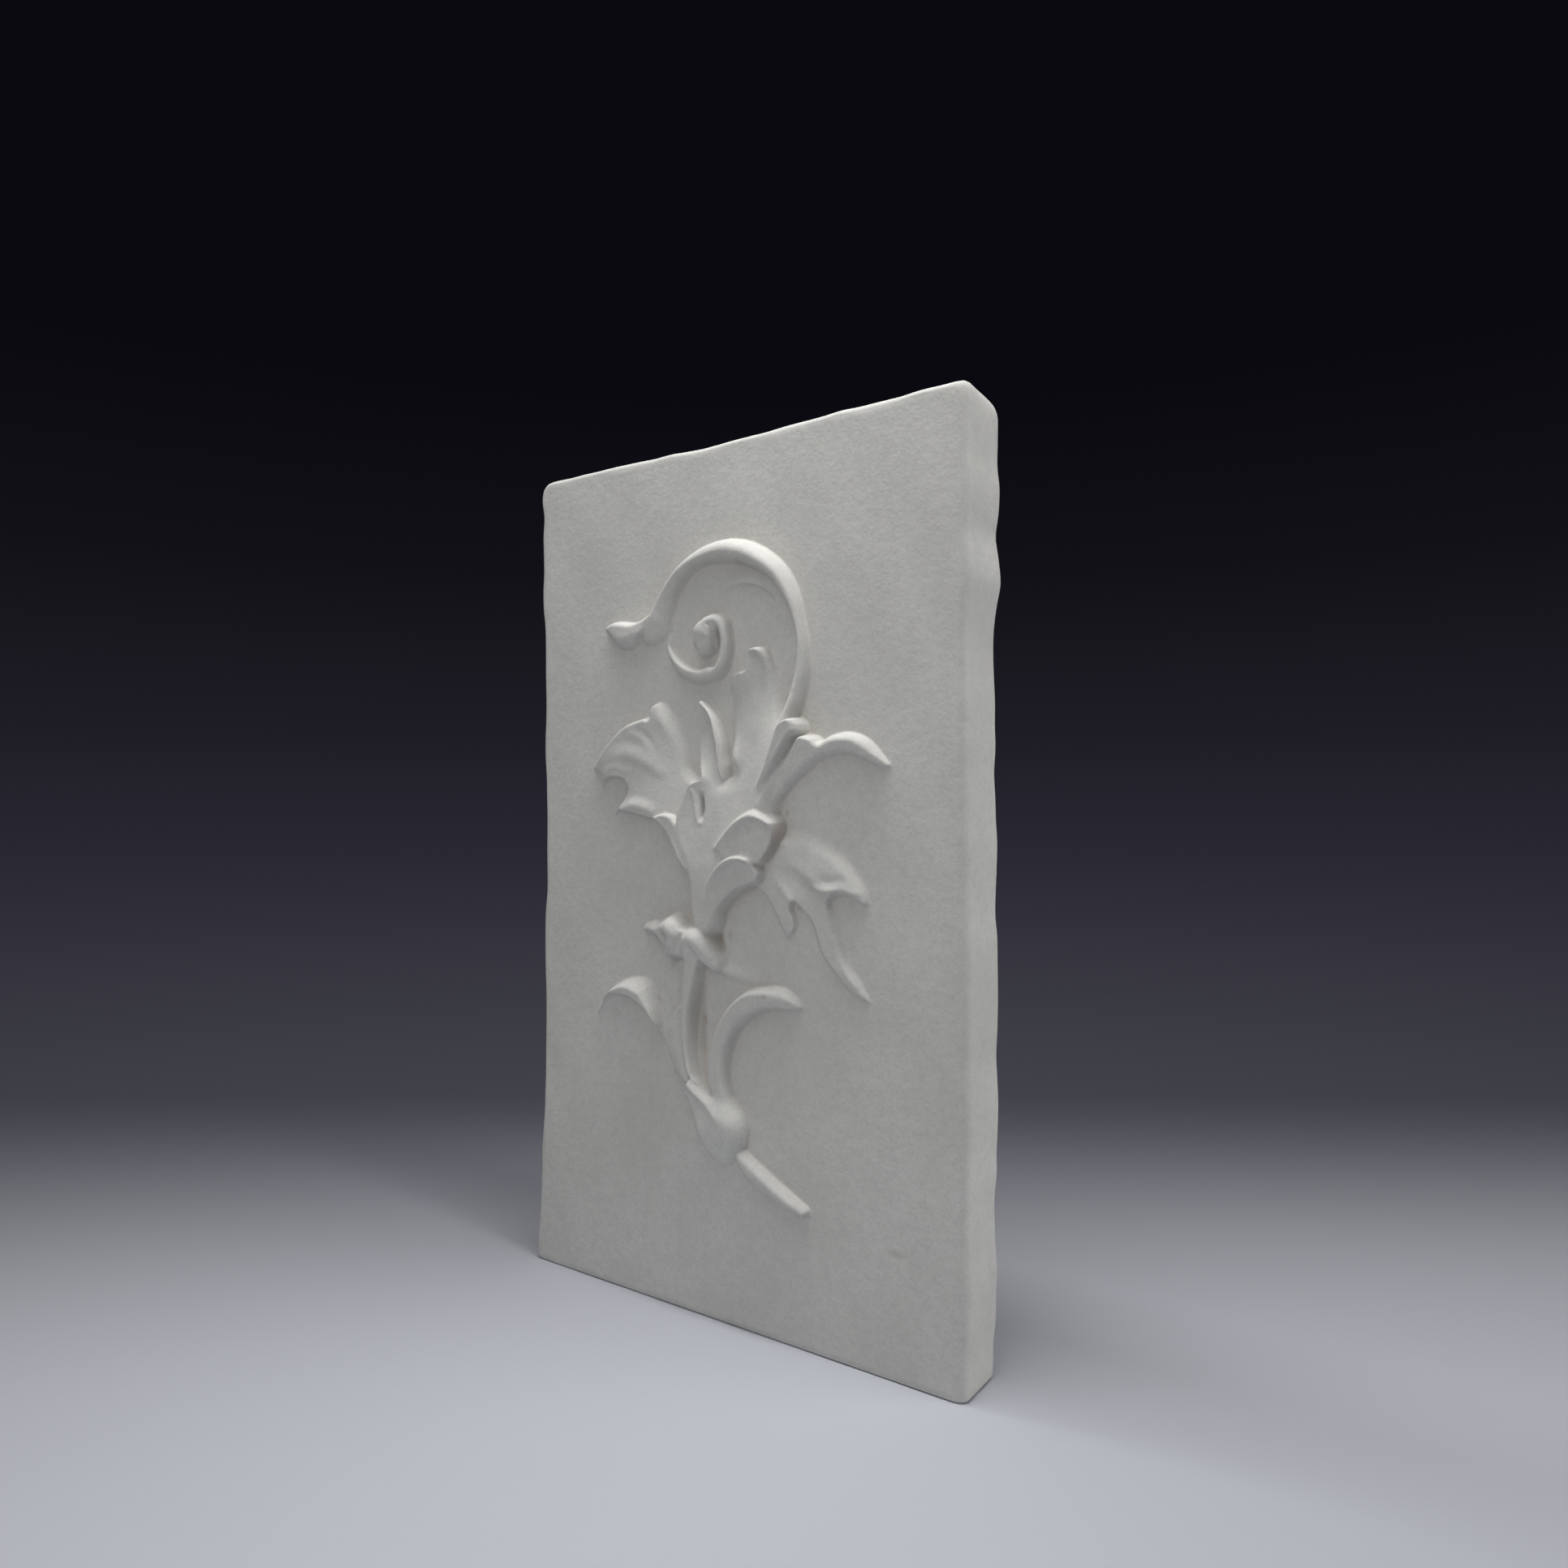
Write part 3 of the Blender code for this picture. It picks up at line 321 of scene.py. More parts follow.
        (104.9, 309.9, 1.2, 2), (107.8, 311.5, 1, 1), (104.4, 315.8, 2, 4), (100.1, 320.7, 4, 6.6),
        (95.2, 325.2, 5, 8.6), (89.3, 328, 5, 9.8), (83.3, 329.2, 5.4, 10.2), (76.8, 328.9, 5.4, 10),
        (71.2, 327.6, 5.6, 9.6), (67.5, 325.7, 4.6, 8.2), (63.9, 327.8, 3.4, 9.4), (59.3, 328.8, 2.8, 9.8),
        (55.8, 328.8, 2.2, 9.8), (53.8, 327.2, 1.6, 9.6), (51.1, 322.9, 1.3, 9.2), (46.8, 316.5, 1.3, 8.8),
        (41.8, 310.5, 1.3, 8.4), (36.2, 305.3, 2, 7), (29.8, 300.1, 2, 5.6), (24.8, 294.3, 2, 5)]),
    ("fold", "raise", "round outline", [
        (56.5, 330.2, 2.4, 12.6), (53.3, 327.7, 3, 13.6), (49.6, 322.6, 3.2, 13.9),
        (45.8, 317.4, 3.2, 13.4), (41.4, 311, 3.4, 12), (37.1, 305.7, 4, 10.8), (32, 300.5, 5, 10),
        (27.3, 294.8, 6, 9.8), (23.6, 290.3, 6, 9.8), (18.3, 288.5, 5, 10.4), (23.6, 298.3, 5, 11.2),
        (28.5, 307.6, 5, 12), (33, 315.9, 4.6, 12.9), (37.5, 323.7, 3.8, 13.6), (41, 330.2, 2.8, 14),
        (43.5, 334.4, 2.4, 14.5), (46.7, 336.9, 2.4, 14.9), (50.8, 338.4, 2.4, 15.1),
        (53.1, 338, 2.4, 14.8), (54.5, 337, 2.4, 14), (56.1, 334.6, 1.8, 12), (56.7, 332, 2, 11.6)]),
    ("fold groove", "add", "soft", [
        (48, 329.2, 1.2, 1.2, -0.2), (45.9, 325.8, 1.2, 1.2, -0.4), (41.8, 320.3, 1.2, 1.2, -0.4),
        (38.1, 314.8, 1.2, 1.2, -0.2)]),
    ("fold end hollow", "add", "soft", [
        (54.2, 335.1, 1.6, 1.6, -0.5), (55.1, 332.9, 1.6, 1.6, -1.2), (55.4, 330.9, 1.6, 1.6, -1)]),
    ("upper lobe", "raise", "round outline", [
        (-4.3, 266.7, 5, 10.6), (0.3, 272.2, 3.6, 11), (5.9, 277.3, 3.4, 11.8), (12.2, 283.2, 4, 12.8),
        (20.2, 288.1, 4.6, 13.6), (26.7, 290.3, 5, 14.2), (31.3, 289.5, 5.4, 14.2), (35.5, 287.2, 5, 14),
        (39.9, 284.8, 4.4, 13.6), (41.9, 281.1, 2.4, 13), (41.7, 275.4, 1.8, 12.4),
        (39.8, 269.6, 1.8, 11.6), (36.1, 264.2, 1.8, 11), (32.7, 260.2, 2, 10.6), (26.2, 255.8, 3, 10.4),
        (13.7, 255.4, 4, 10.4), (3, 259.6, 5, 10.4)]),
    ("upper lobe face", "add", "soft", [
        (7.9, 266.5, 5, 6, -0.4), (14.2, 272.9, 5, 6, -1.1), (21, 278.4, 5, 6, -1.5),
        (29, 280.7, 5, 6, -1.5), (35.4, 277.3, 5, 6, -1.2), (36.9, 270.3, 5, 6, -0.5)]),
    ("upper lobe rim", "add", "soft", [
        (2.7, 269.5, 3, 2.6, 0.2), (8.3, 274.1, 3.6, 2.6, 1), (15.7, 279.9, 4, 2.6, 1.4),
        (22.9, 283.5, 4.2, 2.6, 1.5), (29.2, 284.6, 4.2, 2.6, 1.4), (34.3, 284, 4, 2.6, 1.2),
        (39.1, 281.7, 3.4, 2.6, 0.8)]),
    ("lower lobe", "raise", "round outline", [
        (-8.2, 241, 2, 10.8), (-7, 246.5, 2, 11.4), (-3.3, 252.6, 2, 12.6), (1.5, 258, 2.6, 13.4),
        (7.3, 262.4, 3.2, 14), (13.6, 264.8, 3.6, 14.3), (19.9, 265.5, 4, 14.5), (25.5, 264.3, 4.2, 14.4),
        (28.4, 261.6, 4.6, 14), (29.8, 258, 3.6, 13), (31, 254.3, 1.6, 11.2), (29.9, 250.2, 1.6, 10.2),
        (25.7, 247.6, 1.7, 9.4), (20.3, 246, 1.8, 9), (15.2, 244.2, 2, 8.8), (9.4, 240.3, 2.4, 8.8),
        (5.3, 236, 2.6, 9), (1.3, 230.7, 2.8, 9.2), (-2.8, 224.6, 2.8, 8.6), (-8.7, 217.4, 3, 8.4),
        (-11.9, 221.5, 5, 8.6), (-11.7, 232.6, 4, 9.6)]),
    ("lower lobe face", "add", "soft", [
        (0, 244.1, 5, 6, -0.4), (5.2, 250.2, 5, 6, -0.9), (12, 255, 5, 6, -1.1), (19.2, 257.5, 5, 6, -1.1),
        (26.1, 255.5, 5, 6, -0.8)]),
    ("lower lobe rim", "add", "soft", [
        (-4.3, 245.8, 2.6, 2.2, 0.3), (-0.2, 250.5, 3, 2.2, 0.8), (4.5, 255.2, 3.4, 2.2, 1.3),
        (9.5, 259, 3.8, 2.2, 1.5), (14.9, 261.2, 4, 2.2, 1.6), (20.5, 261.8, 4, 2.2, 1.5),
        (25.3, 260.8, 3.8, 2.2, 1.2), (27.9, 258.1, 3.2, 2.2, 0.6)]),
    # the knot
    ("knot mass", "melt", "soft outline", [
        (-61.2, 219, 5, 3), (-56.7, 221.8, 5, 3.8), (-50.4, 223.8, 6, 5.6), (-44.7, 225.7, 6, 8),
        (-34.1, 227.9, 6, 10.2), (-24.2, 224.3, 6, 11.4), (-15.7, 224.8, 6, 11.4), (-9, 220.5, 5, 11),
        (-7.3, 213, 5, 9.4), (-6.1, 204.8, 5, 8.2), (-12.4, 201.2, 4.6, 8), (-23.4, 200.8, 5, 8.4),
        (-31.6, 200.9, 5, 8.4), (-37.8, 201.7, 5.4, 8.4), (-43.8, 206.4, 5.4, 7.6),
        (-50.8, 211.6, 5.4, 5.6), (-57.7, 214.9, 5.4, 3.8)]),
    ("knot bump", "melt", "round", [
        (-58, 217.8, 3.6, 3.6, 4), (-53.2, 218.7, 4.2, 4.2, 5)]),
    ("knot left", "raise", "round", [
        (-37.6, 219.8, 7.4, 7.4, 12), (-34.5, 220, 9, 9, 13.2), (-32, 216.9, 9, 9, 13.2),
        (-32.6, 211.8, 7, 7, 11.2)]),
    ("knot hook", "melt", "soft", [
        (-33.7, 213.3, 5, 5, 11.4), (-36.4, 208.2, 4.8, 4.8, 10.4), (-37.9, 204.2, 4.2, 4.2, 8.4),
        (-37.5, 200.8, 2.8, 2.8, 5.4)]),
    ("knot right", "raise", "round", [
        (-20.6, 214.4, 8, 8, 12.6), (-16.9, 215.1, 9, 9, 13.4), (-13.5, 212.5, 9, 9, 13),
        (-9.6, 207.2, 8, 8, 11.2), (-4.5, 202, 6.4, 6.4, 7.8)]),
    ("knot right cheek", "raise", "round", [
        (-21.2, 212, 8.4, 8.4, 12.2), (-20.8, 205.9, 8, 8, 11.4)]),
    ("root beside the knot", "raise", "soft", [
        (-5.2, 205.4, 5, 5, 7), (-1.8, 200.3, 5.5, 5, 4), (4.2, 196.5, 5, 4, 2), (13.3, 194.9, 5, 4, 1),
        (26.2, 194, 4, 4, 0.2)]),
    ("slot beside the knot", "add", "soft", [
        (-3.9, 222.3, 2, 2.2, -1.4), (-4.4, 218.7, 2.6, 3, -2.4), (-3.8, 214.8, 2.6, 3, -2.4),
        (-1.5, 210.8, 2, 2.4, -1)]),
    ("gap under the knot", "set", "soft", [
        (-12.1, 203.1, 1.2, 1.2, 5), (-12.4, 200.3, 2.2, 2, 1.4), (-12.8, 197.5, 2.6, 2.2, 0.4),
        (-13.4, 193.3, 1.4, 1.6, 1)]),
    ("ground beside the stem", "add", "soft", [
        (-15.8, 187.5, 2, 2, -0.4), (-18.2, 175.6, 5, 5, -1), (-18.2, 164, 5, 5, -1.4),
        (-16.9, 152.6, 4, 4, -1.2), (-15.7, 144.4, 2, 2, -0.5)]),
    ("dot beside the knot", "add", "soft", [
        (-52.7, 212.3, 1.5, 1.5, -1.6), (-50.1, 210, 1.5, 1.5, -1.6)]),
]


def smoothPath(rows, closed=False):
    # a smooth run of rows through the given ones
    knots = [rows[-1], *rows, rows[0], rows[1]] if closed else [rows[0], *rows, rows[-1]]
    knots = np.array(knots, float)
    found = []
    for a, b, c, d in zip(knots, knots[1:], knots[2:], knots[3:]):
        for t in np.arange(panelSizes["pathSteps"]) / panelSizes["pathSteps"]:
            found.append(b + 0.5 * t * (c - a + t * (2 * a - 5 * b + 4 * c - d + t * (3 * (b - c) + d - a))))
    found.append(knots[-2])
    return np.array(found)


def flankShape(share, kind):
    a, b = flanks[kind]
    return (1 - np.clip(share, 0, 1) ** a) ** b


def nearestOn(x, z, a, b):
    # how far each point is from one stretch of a path, where on it, and on which side
    run = b[:2] - a[:2]
    dx, dz = x - a[0], z - a[1]
    t = np.clip((dx * run[0] + dz * run[1]) / max(run @ run, 1e-9), 0, 1)
    return np.hypot(dx - t * run[0], dz - t * run[1]), t, run[0] * dz - run[1] * dx


def ridgeOver(x, z, rows, leftKind, rightKind):
    # reach of a ridge at each point, 0 outside and 1 on its crest, and the rise of its crest there
    path = smoothPath(rows)
    nearest = np.full(x.shape, np.inf)
    place = np.zeros(x.shape)
    side = np.ones(x.shape)
    for i, (a, b) in enumerate(zip(path, path[1:])):
        away, t, turn = nearestOn(x, z, a, b)
        closer = away < nearest
        nearest = np.where(closer, away, nearest)
        place = np.where(closer, i + t, place)
        side = np.where(closer, turn, side)
    steps = np.arange(len(path))
    left, right, rise = (np.interp(place, steps, path[:, k]) for k in (2, 3, 4))
    reach = np.where(side > 0, flankShape(nearest / left, leftKind), flankShape(nearest / right, rightKind))
    return reach, rise


def sheetOver(x, z, rows, kind):
    # the same for a sheet with a closed outline: only its edge falls, its rise blends those of its rows
    path = smoothPath(rows, closed=True)
    nearest = np.full(x.shape, np.inf)
    width = np.ones(x.shape)
    inside = np.zeros(x.shape, bool)
    weights = np.zeros(x.shape)
    rise = np.zeros(x.shape)
    for a, b in zip(path, path[1:]):
        away, t, turn = nearestOn(x, z, a, b)
        closer = away < nearest
        nearest = np.where(closer, away, nearest)
        width = np.where(closer, a[2] + t * (b[2] - a[2]), width)
        inside ^= ((a[1] > z) != (b[1] > z)) & ((turn > 0) == (b[1] < a[1]))
        share = math.dist(a[:2], b[:2]) / (away ** 2 + panelSizes["riseSoftness"])
        weights += share
        rise += share * (a[3] + t * (b[3] - a[3]))
    return np.where(inside, flankShape(1 - nearest / width, kind), 0), rise / np.maximum(weights, 1e-9)


def boxAround(x, z, rows, room):
    # which points lie in the box around a path's rows
    low, high = rows[:, :2].min(0) - room, rows[:, :2].max(0) + room
    return (x > low[0]) & (x < high[0]) & (z > low[1]) & (z < high[1])


def carvingHeight(x, z):
    # height of the carving over the ground, in drawn units
    height = np.zeros(x.shape)
    for name, way, flank, rows in carving:
        rows = np.array(rows)
        kind, otherKind = flank.split()[0], flank.split()[-1]
        if otherKind == "outline":
            near = boxAround(x, z, rows, panelSizes["outlineRoom"])
            reach, rise = sheetOver(x[near], z[near], rows, kind)
        else:
            near = boxAround(x, z, rows, rows[:, 2:4].max() + panelSizes["ridgeRoom"])
            reach, rise = ridgeOver(x[near], z[near], rows, kind, otherKind)
        under = height[near]
        if way == "add":
            height[near] = under + reach * rise
        elif way == "set":
            height[near] = under + reach * (rise - under)
        else:
            over = reach * rise
            blend = panelSizes["melt" if way == "melt" else "fillet"]
            blend = blend * np.clip(over / panelSizes["filletRise"], 0.001, 1)
            mix = np.clip(0.5 + 0.5 * (over - under) / blend, 0, 1)
            height[near] = under * (1 - mix) + over * mix + blend * mix * (1 - mix)
    for passes in range(panelSizes["softenPasses"]):
        # half each point, half the mean of the four around it
        around = height[:-2, 1:-1] + height[2:, 1:-1] + height[1:-1, :-2] + height[1:-1, 2:]
        height[1:-1, 1:-1] = 0.5 * height[1:-1, 1:-1] + 0.125 * around
    return height


# where the plaster is stained, and where shade is painted on in the same way, as paths: x, z, width to
# either side, strength
stainsAndShade = [
    ("mark", [(50.7, 352.7, 1.4, 0.5), (51.7, 352.7, 1.4, 0.5)]),
    ("mark", [(42.6, 287.7, 1.6, 0.5), (42.6, 286.2, 1.6, 0.5)]),
    ("mark", [(27.7, 259.9, 1.8, 0.6), (28.7, 258.9, 1.8, 0.6)]),
    ("mark", [(3.2, 218.9, 1.8, 0.6), (3.2, 217.4, 1.8, 0.6)]),
    ("mark", [(-50.7, 177.9, 1.6, 0.5), (-50.2, 176.9, 1.6, 0.5)]),
    ("mark", [(-15.7, 169.9, 2.2, 0.8), (-15.2, 166.9, 2.2, 0.8)]),
    ("mark", [(30.5, 187.9, 1.8, 0.5), (32.5, 187.4, 1.8, 0.5)]),
    ("mark", [(11.7, 427.7, 1.8, 0.4), (13.2, 427.2, 1.8, 0.4)]),
    ("pit", [(-8.8, 344.1, 1, 1.2), (-8.4, 343.4, 1, 1.2)]),
    ("dark mark", [(120.4, 254.6, 1.1, 1.1), (120.9, 254.3, 1.1, 1.1)]),
    ("faint smear", [(107, 64.4, 2.4, 0.2), (112, 64, 2.6, 0.4), (117, 65.4, 2, 0.2)]),
    # painted shade: the ground between the stem and the crescent darkened in colour, where shade falls
    ("beside the stem", [(-15.5, 189, 2, 0.2), (-17.5, 175, 4, 0.4), (-17.6, 163.7, 4, 0.45),
                         (-16.8, 152, 4, 0.4), (-15.6, 142, 2, 0.2)]),
    # painted shade: the right wall of the upper lobe darkened in colour
    ("painted shade on the lobe wall", [(41.4, 280.7, 1.8, 0.5), (41.3, 275.4, 1.8, 0.7), (39.4, 269.6, 1.8, 0.7),
                   (35.7, 264.2, 1.8, 0.6), (32.6, 260.6, 1.8, 0.4)]),
    # painted shade: the slot between the knot and the lobe darkened in colour
    ("beside the knot", [(-9.3, 219.8, 3, 0.3), (-4.6, 214.5, 3.5, 0.5), (-1.7, 210.2, 3, 0.4)]),
]


def stainAndShadeStrength(x, z):
    strength = np.zeros(x.shape)
    for name, rows in stainsAndShade:
        rows = np.array(rows)[:, (0, 1, 2, 2, 3)]
        near = boxAround(x, z, rows, rows[:, 2].max() + panelSizes["ridgeRoom"])
        reach, deep = ridgeOver(x[near], z[near], rows, "soft", "soft")
        strength[near] = np.maximum(strength[near], reach * deep)
    return strength


def boxMean(field, reach):
    # mean over a square of points, with the edges repeated
    for axis in (0, 1):
        padded = np.concatenate([np.repeat(field.take([0], axis), reach + 1, axis), field,
                                 np.repeat(field.take([-1], axis), reach, axis)], axis)
        total = padded.cumsum(axis)
        size = field.shape[axis]
        upper = total.take(np.arange(2 * reach + 1, 2 * reach + 1 + size), axis)
        field = (upper - total.take(np.arange(size), axis)) / (2 * reach + 1)
    return field


def sampled(field, x, z):
    # a field's value between its points, from drawn places
    i = np.clip((x + panelSizes["drawnWidth"] / 2) / panelSizes["fieldStep"], 0, field.shape[1] - 1.001)
    k = np.clip(z / panelSizes["fieldStep"], 0, field.shape[0] - 1.001)
    left, low = i.astype(int), k.astype(int)
    di, dk = i - left, k - low
    return ((field[low, left] * (1 - di) + field[low, left + 1] * di) * (1 - dk)
            + (field[low + 1, left] * (1 - di) + field[low + 1, left + 1] * di) * dk)


# how far the slab's uneven edges stand out, in drawn units: place along the edge, distance
edgeLines = {
    "right": [
        (0, -2), (10, -1.6), (20, -1.4), (32, 0), (44, 0.3), (56, 0.8), (68, 0), (80, -0.4),
        (92, -0.6), (104, 0.8), (116, 0.8), (128, 1.4), (140, 1.8), (152, 1.3), (164, 0.7), (176, 1.4),
        (188, 1.7), (200, 1.8), (212, 1.7), (224, 1.5), (236, 0.5), (248, 0.8), (260, 1.3), (272, 1.7),
        (284, 1), (296, 0.6), (308, 0.1), (320, 0.8), (332, 0.6), (344, 0.7), (356, 0.1), (368, -0.2),
        (380, 0.1), (392, 1.7), (404, 4.1), (416, 3.1), (428, 1.4), (440, 3.1), (452, 3.7), (464, 2.5),
        (476, 2.8), (488, 2.9), (500, 2.9)],
    "left": [
        (0, 6.8), (10, 6.8), (22, 5.7), (34, 4.5), (46, 3.9), (58, 3.3), (70, 3.4), (82, 2.3), (94, 1.2),
        (106, 0.8), (118, 0.3), (142, 0.1), (166, 0), (190, 1), (214, 1.2), (226, 0.6), (238, -0.6),
        (262, -0.2), (274, -0.3), (286, -0.2), (298, 0.2), (310, 0.6), (322, 1.6), (334, 1.8), (346, 1.2),
        (358, 1.1), (370, 1.5), (382, 1.7), (394, 1.8), (406, 2.3), (418, 3.9), (430, 4.3), (442, 3.7),
        (454, 4.1), (466, 4.4), (478, 3.7), (490, 5.5), (500, 3.6)],
    "top": [
        (-150, 0.6), (-140, 0.9), (-128, 0.5), (-116, 0.7), (-104, 0.5), (-92, 0.6), (-80, 0.4),
        (-68, 0.1), (-56, -0.3), (-44, 0), (-32, -0.7), (-20, -1.2), (-8, -1), (4, -0.6), (16, -0.5),
        (28, -0.4), (40, 0.2), (52, 0.4), (64, 0.6), (76, 1.3), (88, 0.9), (100, 1), (112, 1),
        (124, 1.8), (136, 1.7), (148, 2), (156, 1.6)],
}


def edgeLine(side, along):
    path = smoothPath(edgeLines[side])
    return panelSizes["drawnUnit"] * np.interp(along / panelSizes["drawnUnit"], path[:, 0], path[:, 1])


def outline(x, z, corner, share):
    # a point of the flat rectangle moved so that the corners are round and the edges uneven
    halfW, halfH = panelSizes["width"] / 2, panelSizes["height"] / 2
    power = panelSizes["unevenPower"]
    corner = np.where(z > halfH, corner, panelSizes["footCorner"])
    coreX, coreZ = halfW - corner, halfH - corner
    sideX = np.clip(x, -coreX, coreX)
    sideZ = np.clip(z - halfH, -coreZ, coreZ)
    dx, dz = x - sideX, z - halfH - sideZ
    keep = np.maximum(abs(dx), abs(dz)) / np.maximum(np.hypot(dx, dz), 1e-9)
    outX = np.where(x > 0, share * edgeLine("right", z), -edgeLine("left", z)) * abs(x / halfW) ** power
    outZ = edgeLine("top", x) * np.clip(z / halfH - 1, 0, 1) ** power
    return sideX + dx * keep + outX, halfH + sideZ + dz * keep + outZ


def frontGrid(height, stainAndShade):
    # an even grid, halved again where the carving is uneven
    wide, high = panelSizes["drawnWidth"], panelSizes["drawnHeight"]
    across, upwards = round(wide / panelSizes["baseStep"]), round(high / panelSizes["baseStep"])
    bm = bmesh.new()
    bmesh.ops.create_grid(bm, x_segments=across, y_segments=upwards, size=1)
    drawn = Matrix.LocRotScale((0, high / 2, 0), None, (wide / 2, high / 2, 1))
    bmesh.ops.transform(bm, matrix=drawn, verts=bm.verts)
    spotted = panelSizes["stainAndShadeUneven"] * (stainAndShade > panelSizes["stainAndShadeLimit"])
    for reach, limit in panelSizes["splits"]:
        uneven = boxMean(abs(height - boxMean(height, reach)) + spotted, reach)
        middles = np.array([f.calc_center_median() for f in bm.faces])
        rough = sampled(uneven, middles[:, 0], middles[:, 1]) > limit
        edges = dict.fromkeys(e for face, split in zip(bm.faces, rough) if split for e in face.edges)
        bmesh.ops.subdivide_edges(bm, edges=list(edges), cuts=1, use_grid_fill=True)
    return bm


def edgeLoops():
    # for each loop from the front's rim to the back's: how far out it stands, from 0 to 1, and its y
    halfD = panelSizes["depth"] / 2
    steps, count = panelSizes["edgeSteps"], panelSizes["sideLoops"]
    loops = []
    for k in range(1, steps + 1):
        turn = k / steps * math.pi / 2
        loops.append((math.sin(turn), -halfD + panelSizes["edgeDepth"] * (1 - math.cos(turn))))
    sideStart, sideEnd = -halfD + panelSizes["edgeDepth"], halfD - panelSizes["backRound"]
    for k in range(1, count + 1):
        loops.append((1, sideStart + (sideEnd - sideStart) * k / count))
    for k in range(1, steps):
        turn = k / steps * math.pi / 2
        loops.append((math.cos(turn), sideEnd + panelSizes["backRound"] * math.sin(turn)))
    return [*loops, (0, halfD)]


def grownRim(bm, rim):
    # the edges and the points of a loop newly grown from an open rim
    grown = bmesh.ops.extrude_edge_only(bm, edges=rim)["geom"]
    edges = [g for g in grown if isinstance(g, bmesh.types.BMEdge) and g.is_boundary]
    return edges, [g for g in grown if isinstance(g, bmesh.types.BMVert)]


def growBody(bm, home):
    # the rounded edge, the side, the back's rounded edge and the back, grown from the front's rim
    # home holds for each point of the rim how far it is drawn in, its place, and its drift to the back
    midZ, halfD = panelSizes["height"] / 2, panelSizes["depth"] / 2
    waveZ, waveY, waveBack = panelSizes["sideWaves"]
    rim = [e for e in bm.edges if e.is_boundary]
    for share, y in edgeLoops():
        rim, verts = grownRim(bm, rim)
        moved = {}
        for vert in verts:
            before = next(e.other_vert(vert) for e in vert.link_edges if e.other_vert(vert) in home)
            moved[vert] = home[before]
            inX, inZ, x, z, driftX, driftZ = moved[vert]
            back = y / panelSizes["depth"] + 0.5
            # the side is a little uneven too, but the underside stays flat
            uneven = 0
            if share == 1 and z > panelSizes["flatFoot"]:
                uneven = panelSizes["sideUneven"] * math.sin(z * waveZ + y * waveY)
                uneven *= math.sin(y * waveBack + 1)
            newX = x + driftX * back - inX * (1 - share) + math.copysign(uneven, x)
            vert.co = (newX, y, z + driftZ * back - inZ * (1 - share))
        home = moved
    # the back is closed with shrinking loops and one flat face in the middle
    for shrink in panelSizes["backLoops"]:
        rim, verts = grownRim(bm, rim)
        for vert in verts:
            vert.co = (vert.co.x * shrink, halfD, midZ + (vert.co.z - midZ) * shrink)
    bmesh.ops.contextual_create(bm, geom=rim)


def newObject(name, data):
    thing = bpy.data.objects.new(name, data)
    bpy.context.scene.collection.objects.link(thing)
    return thing


def meshObject(name, bm):
    mesh = bpy.data.meshes.new(name)
    bm.to_mesh(mesh)
    bm.free()
    return newObject(name, mesh)


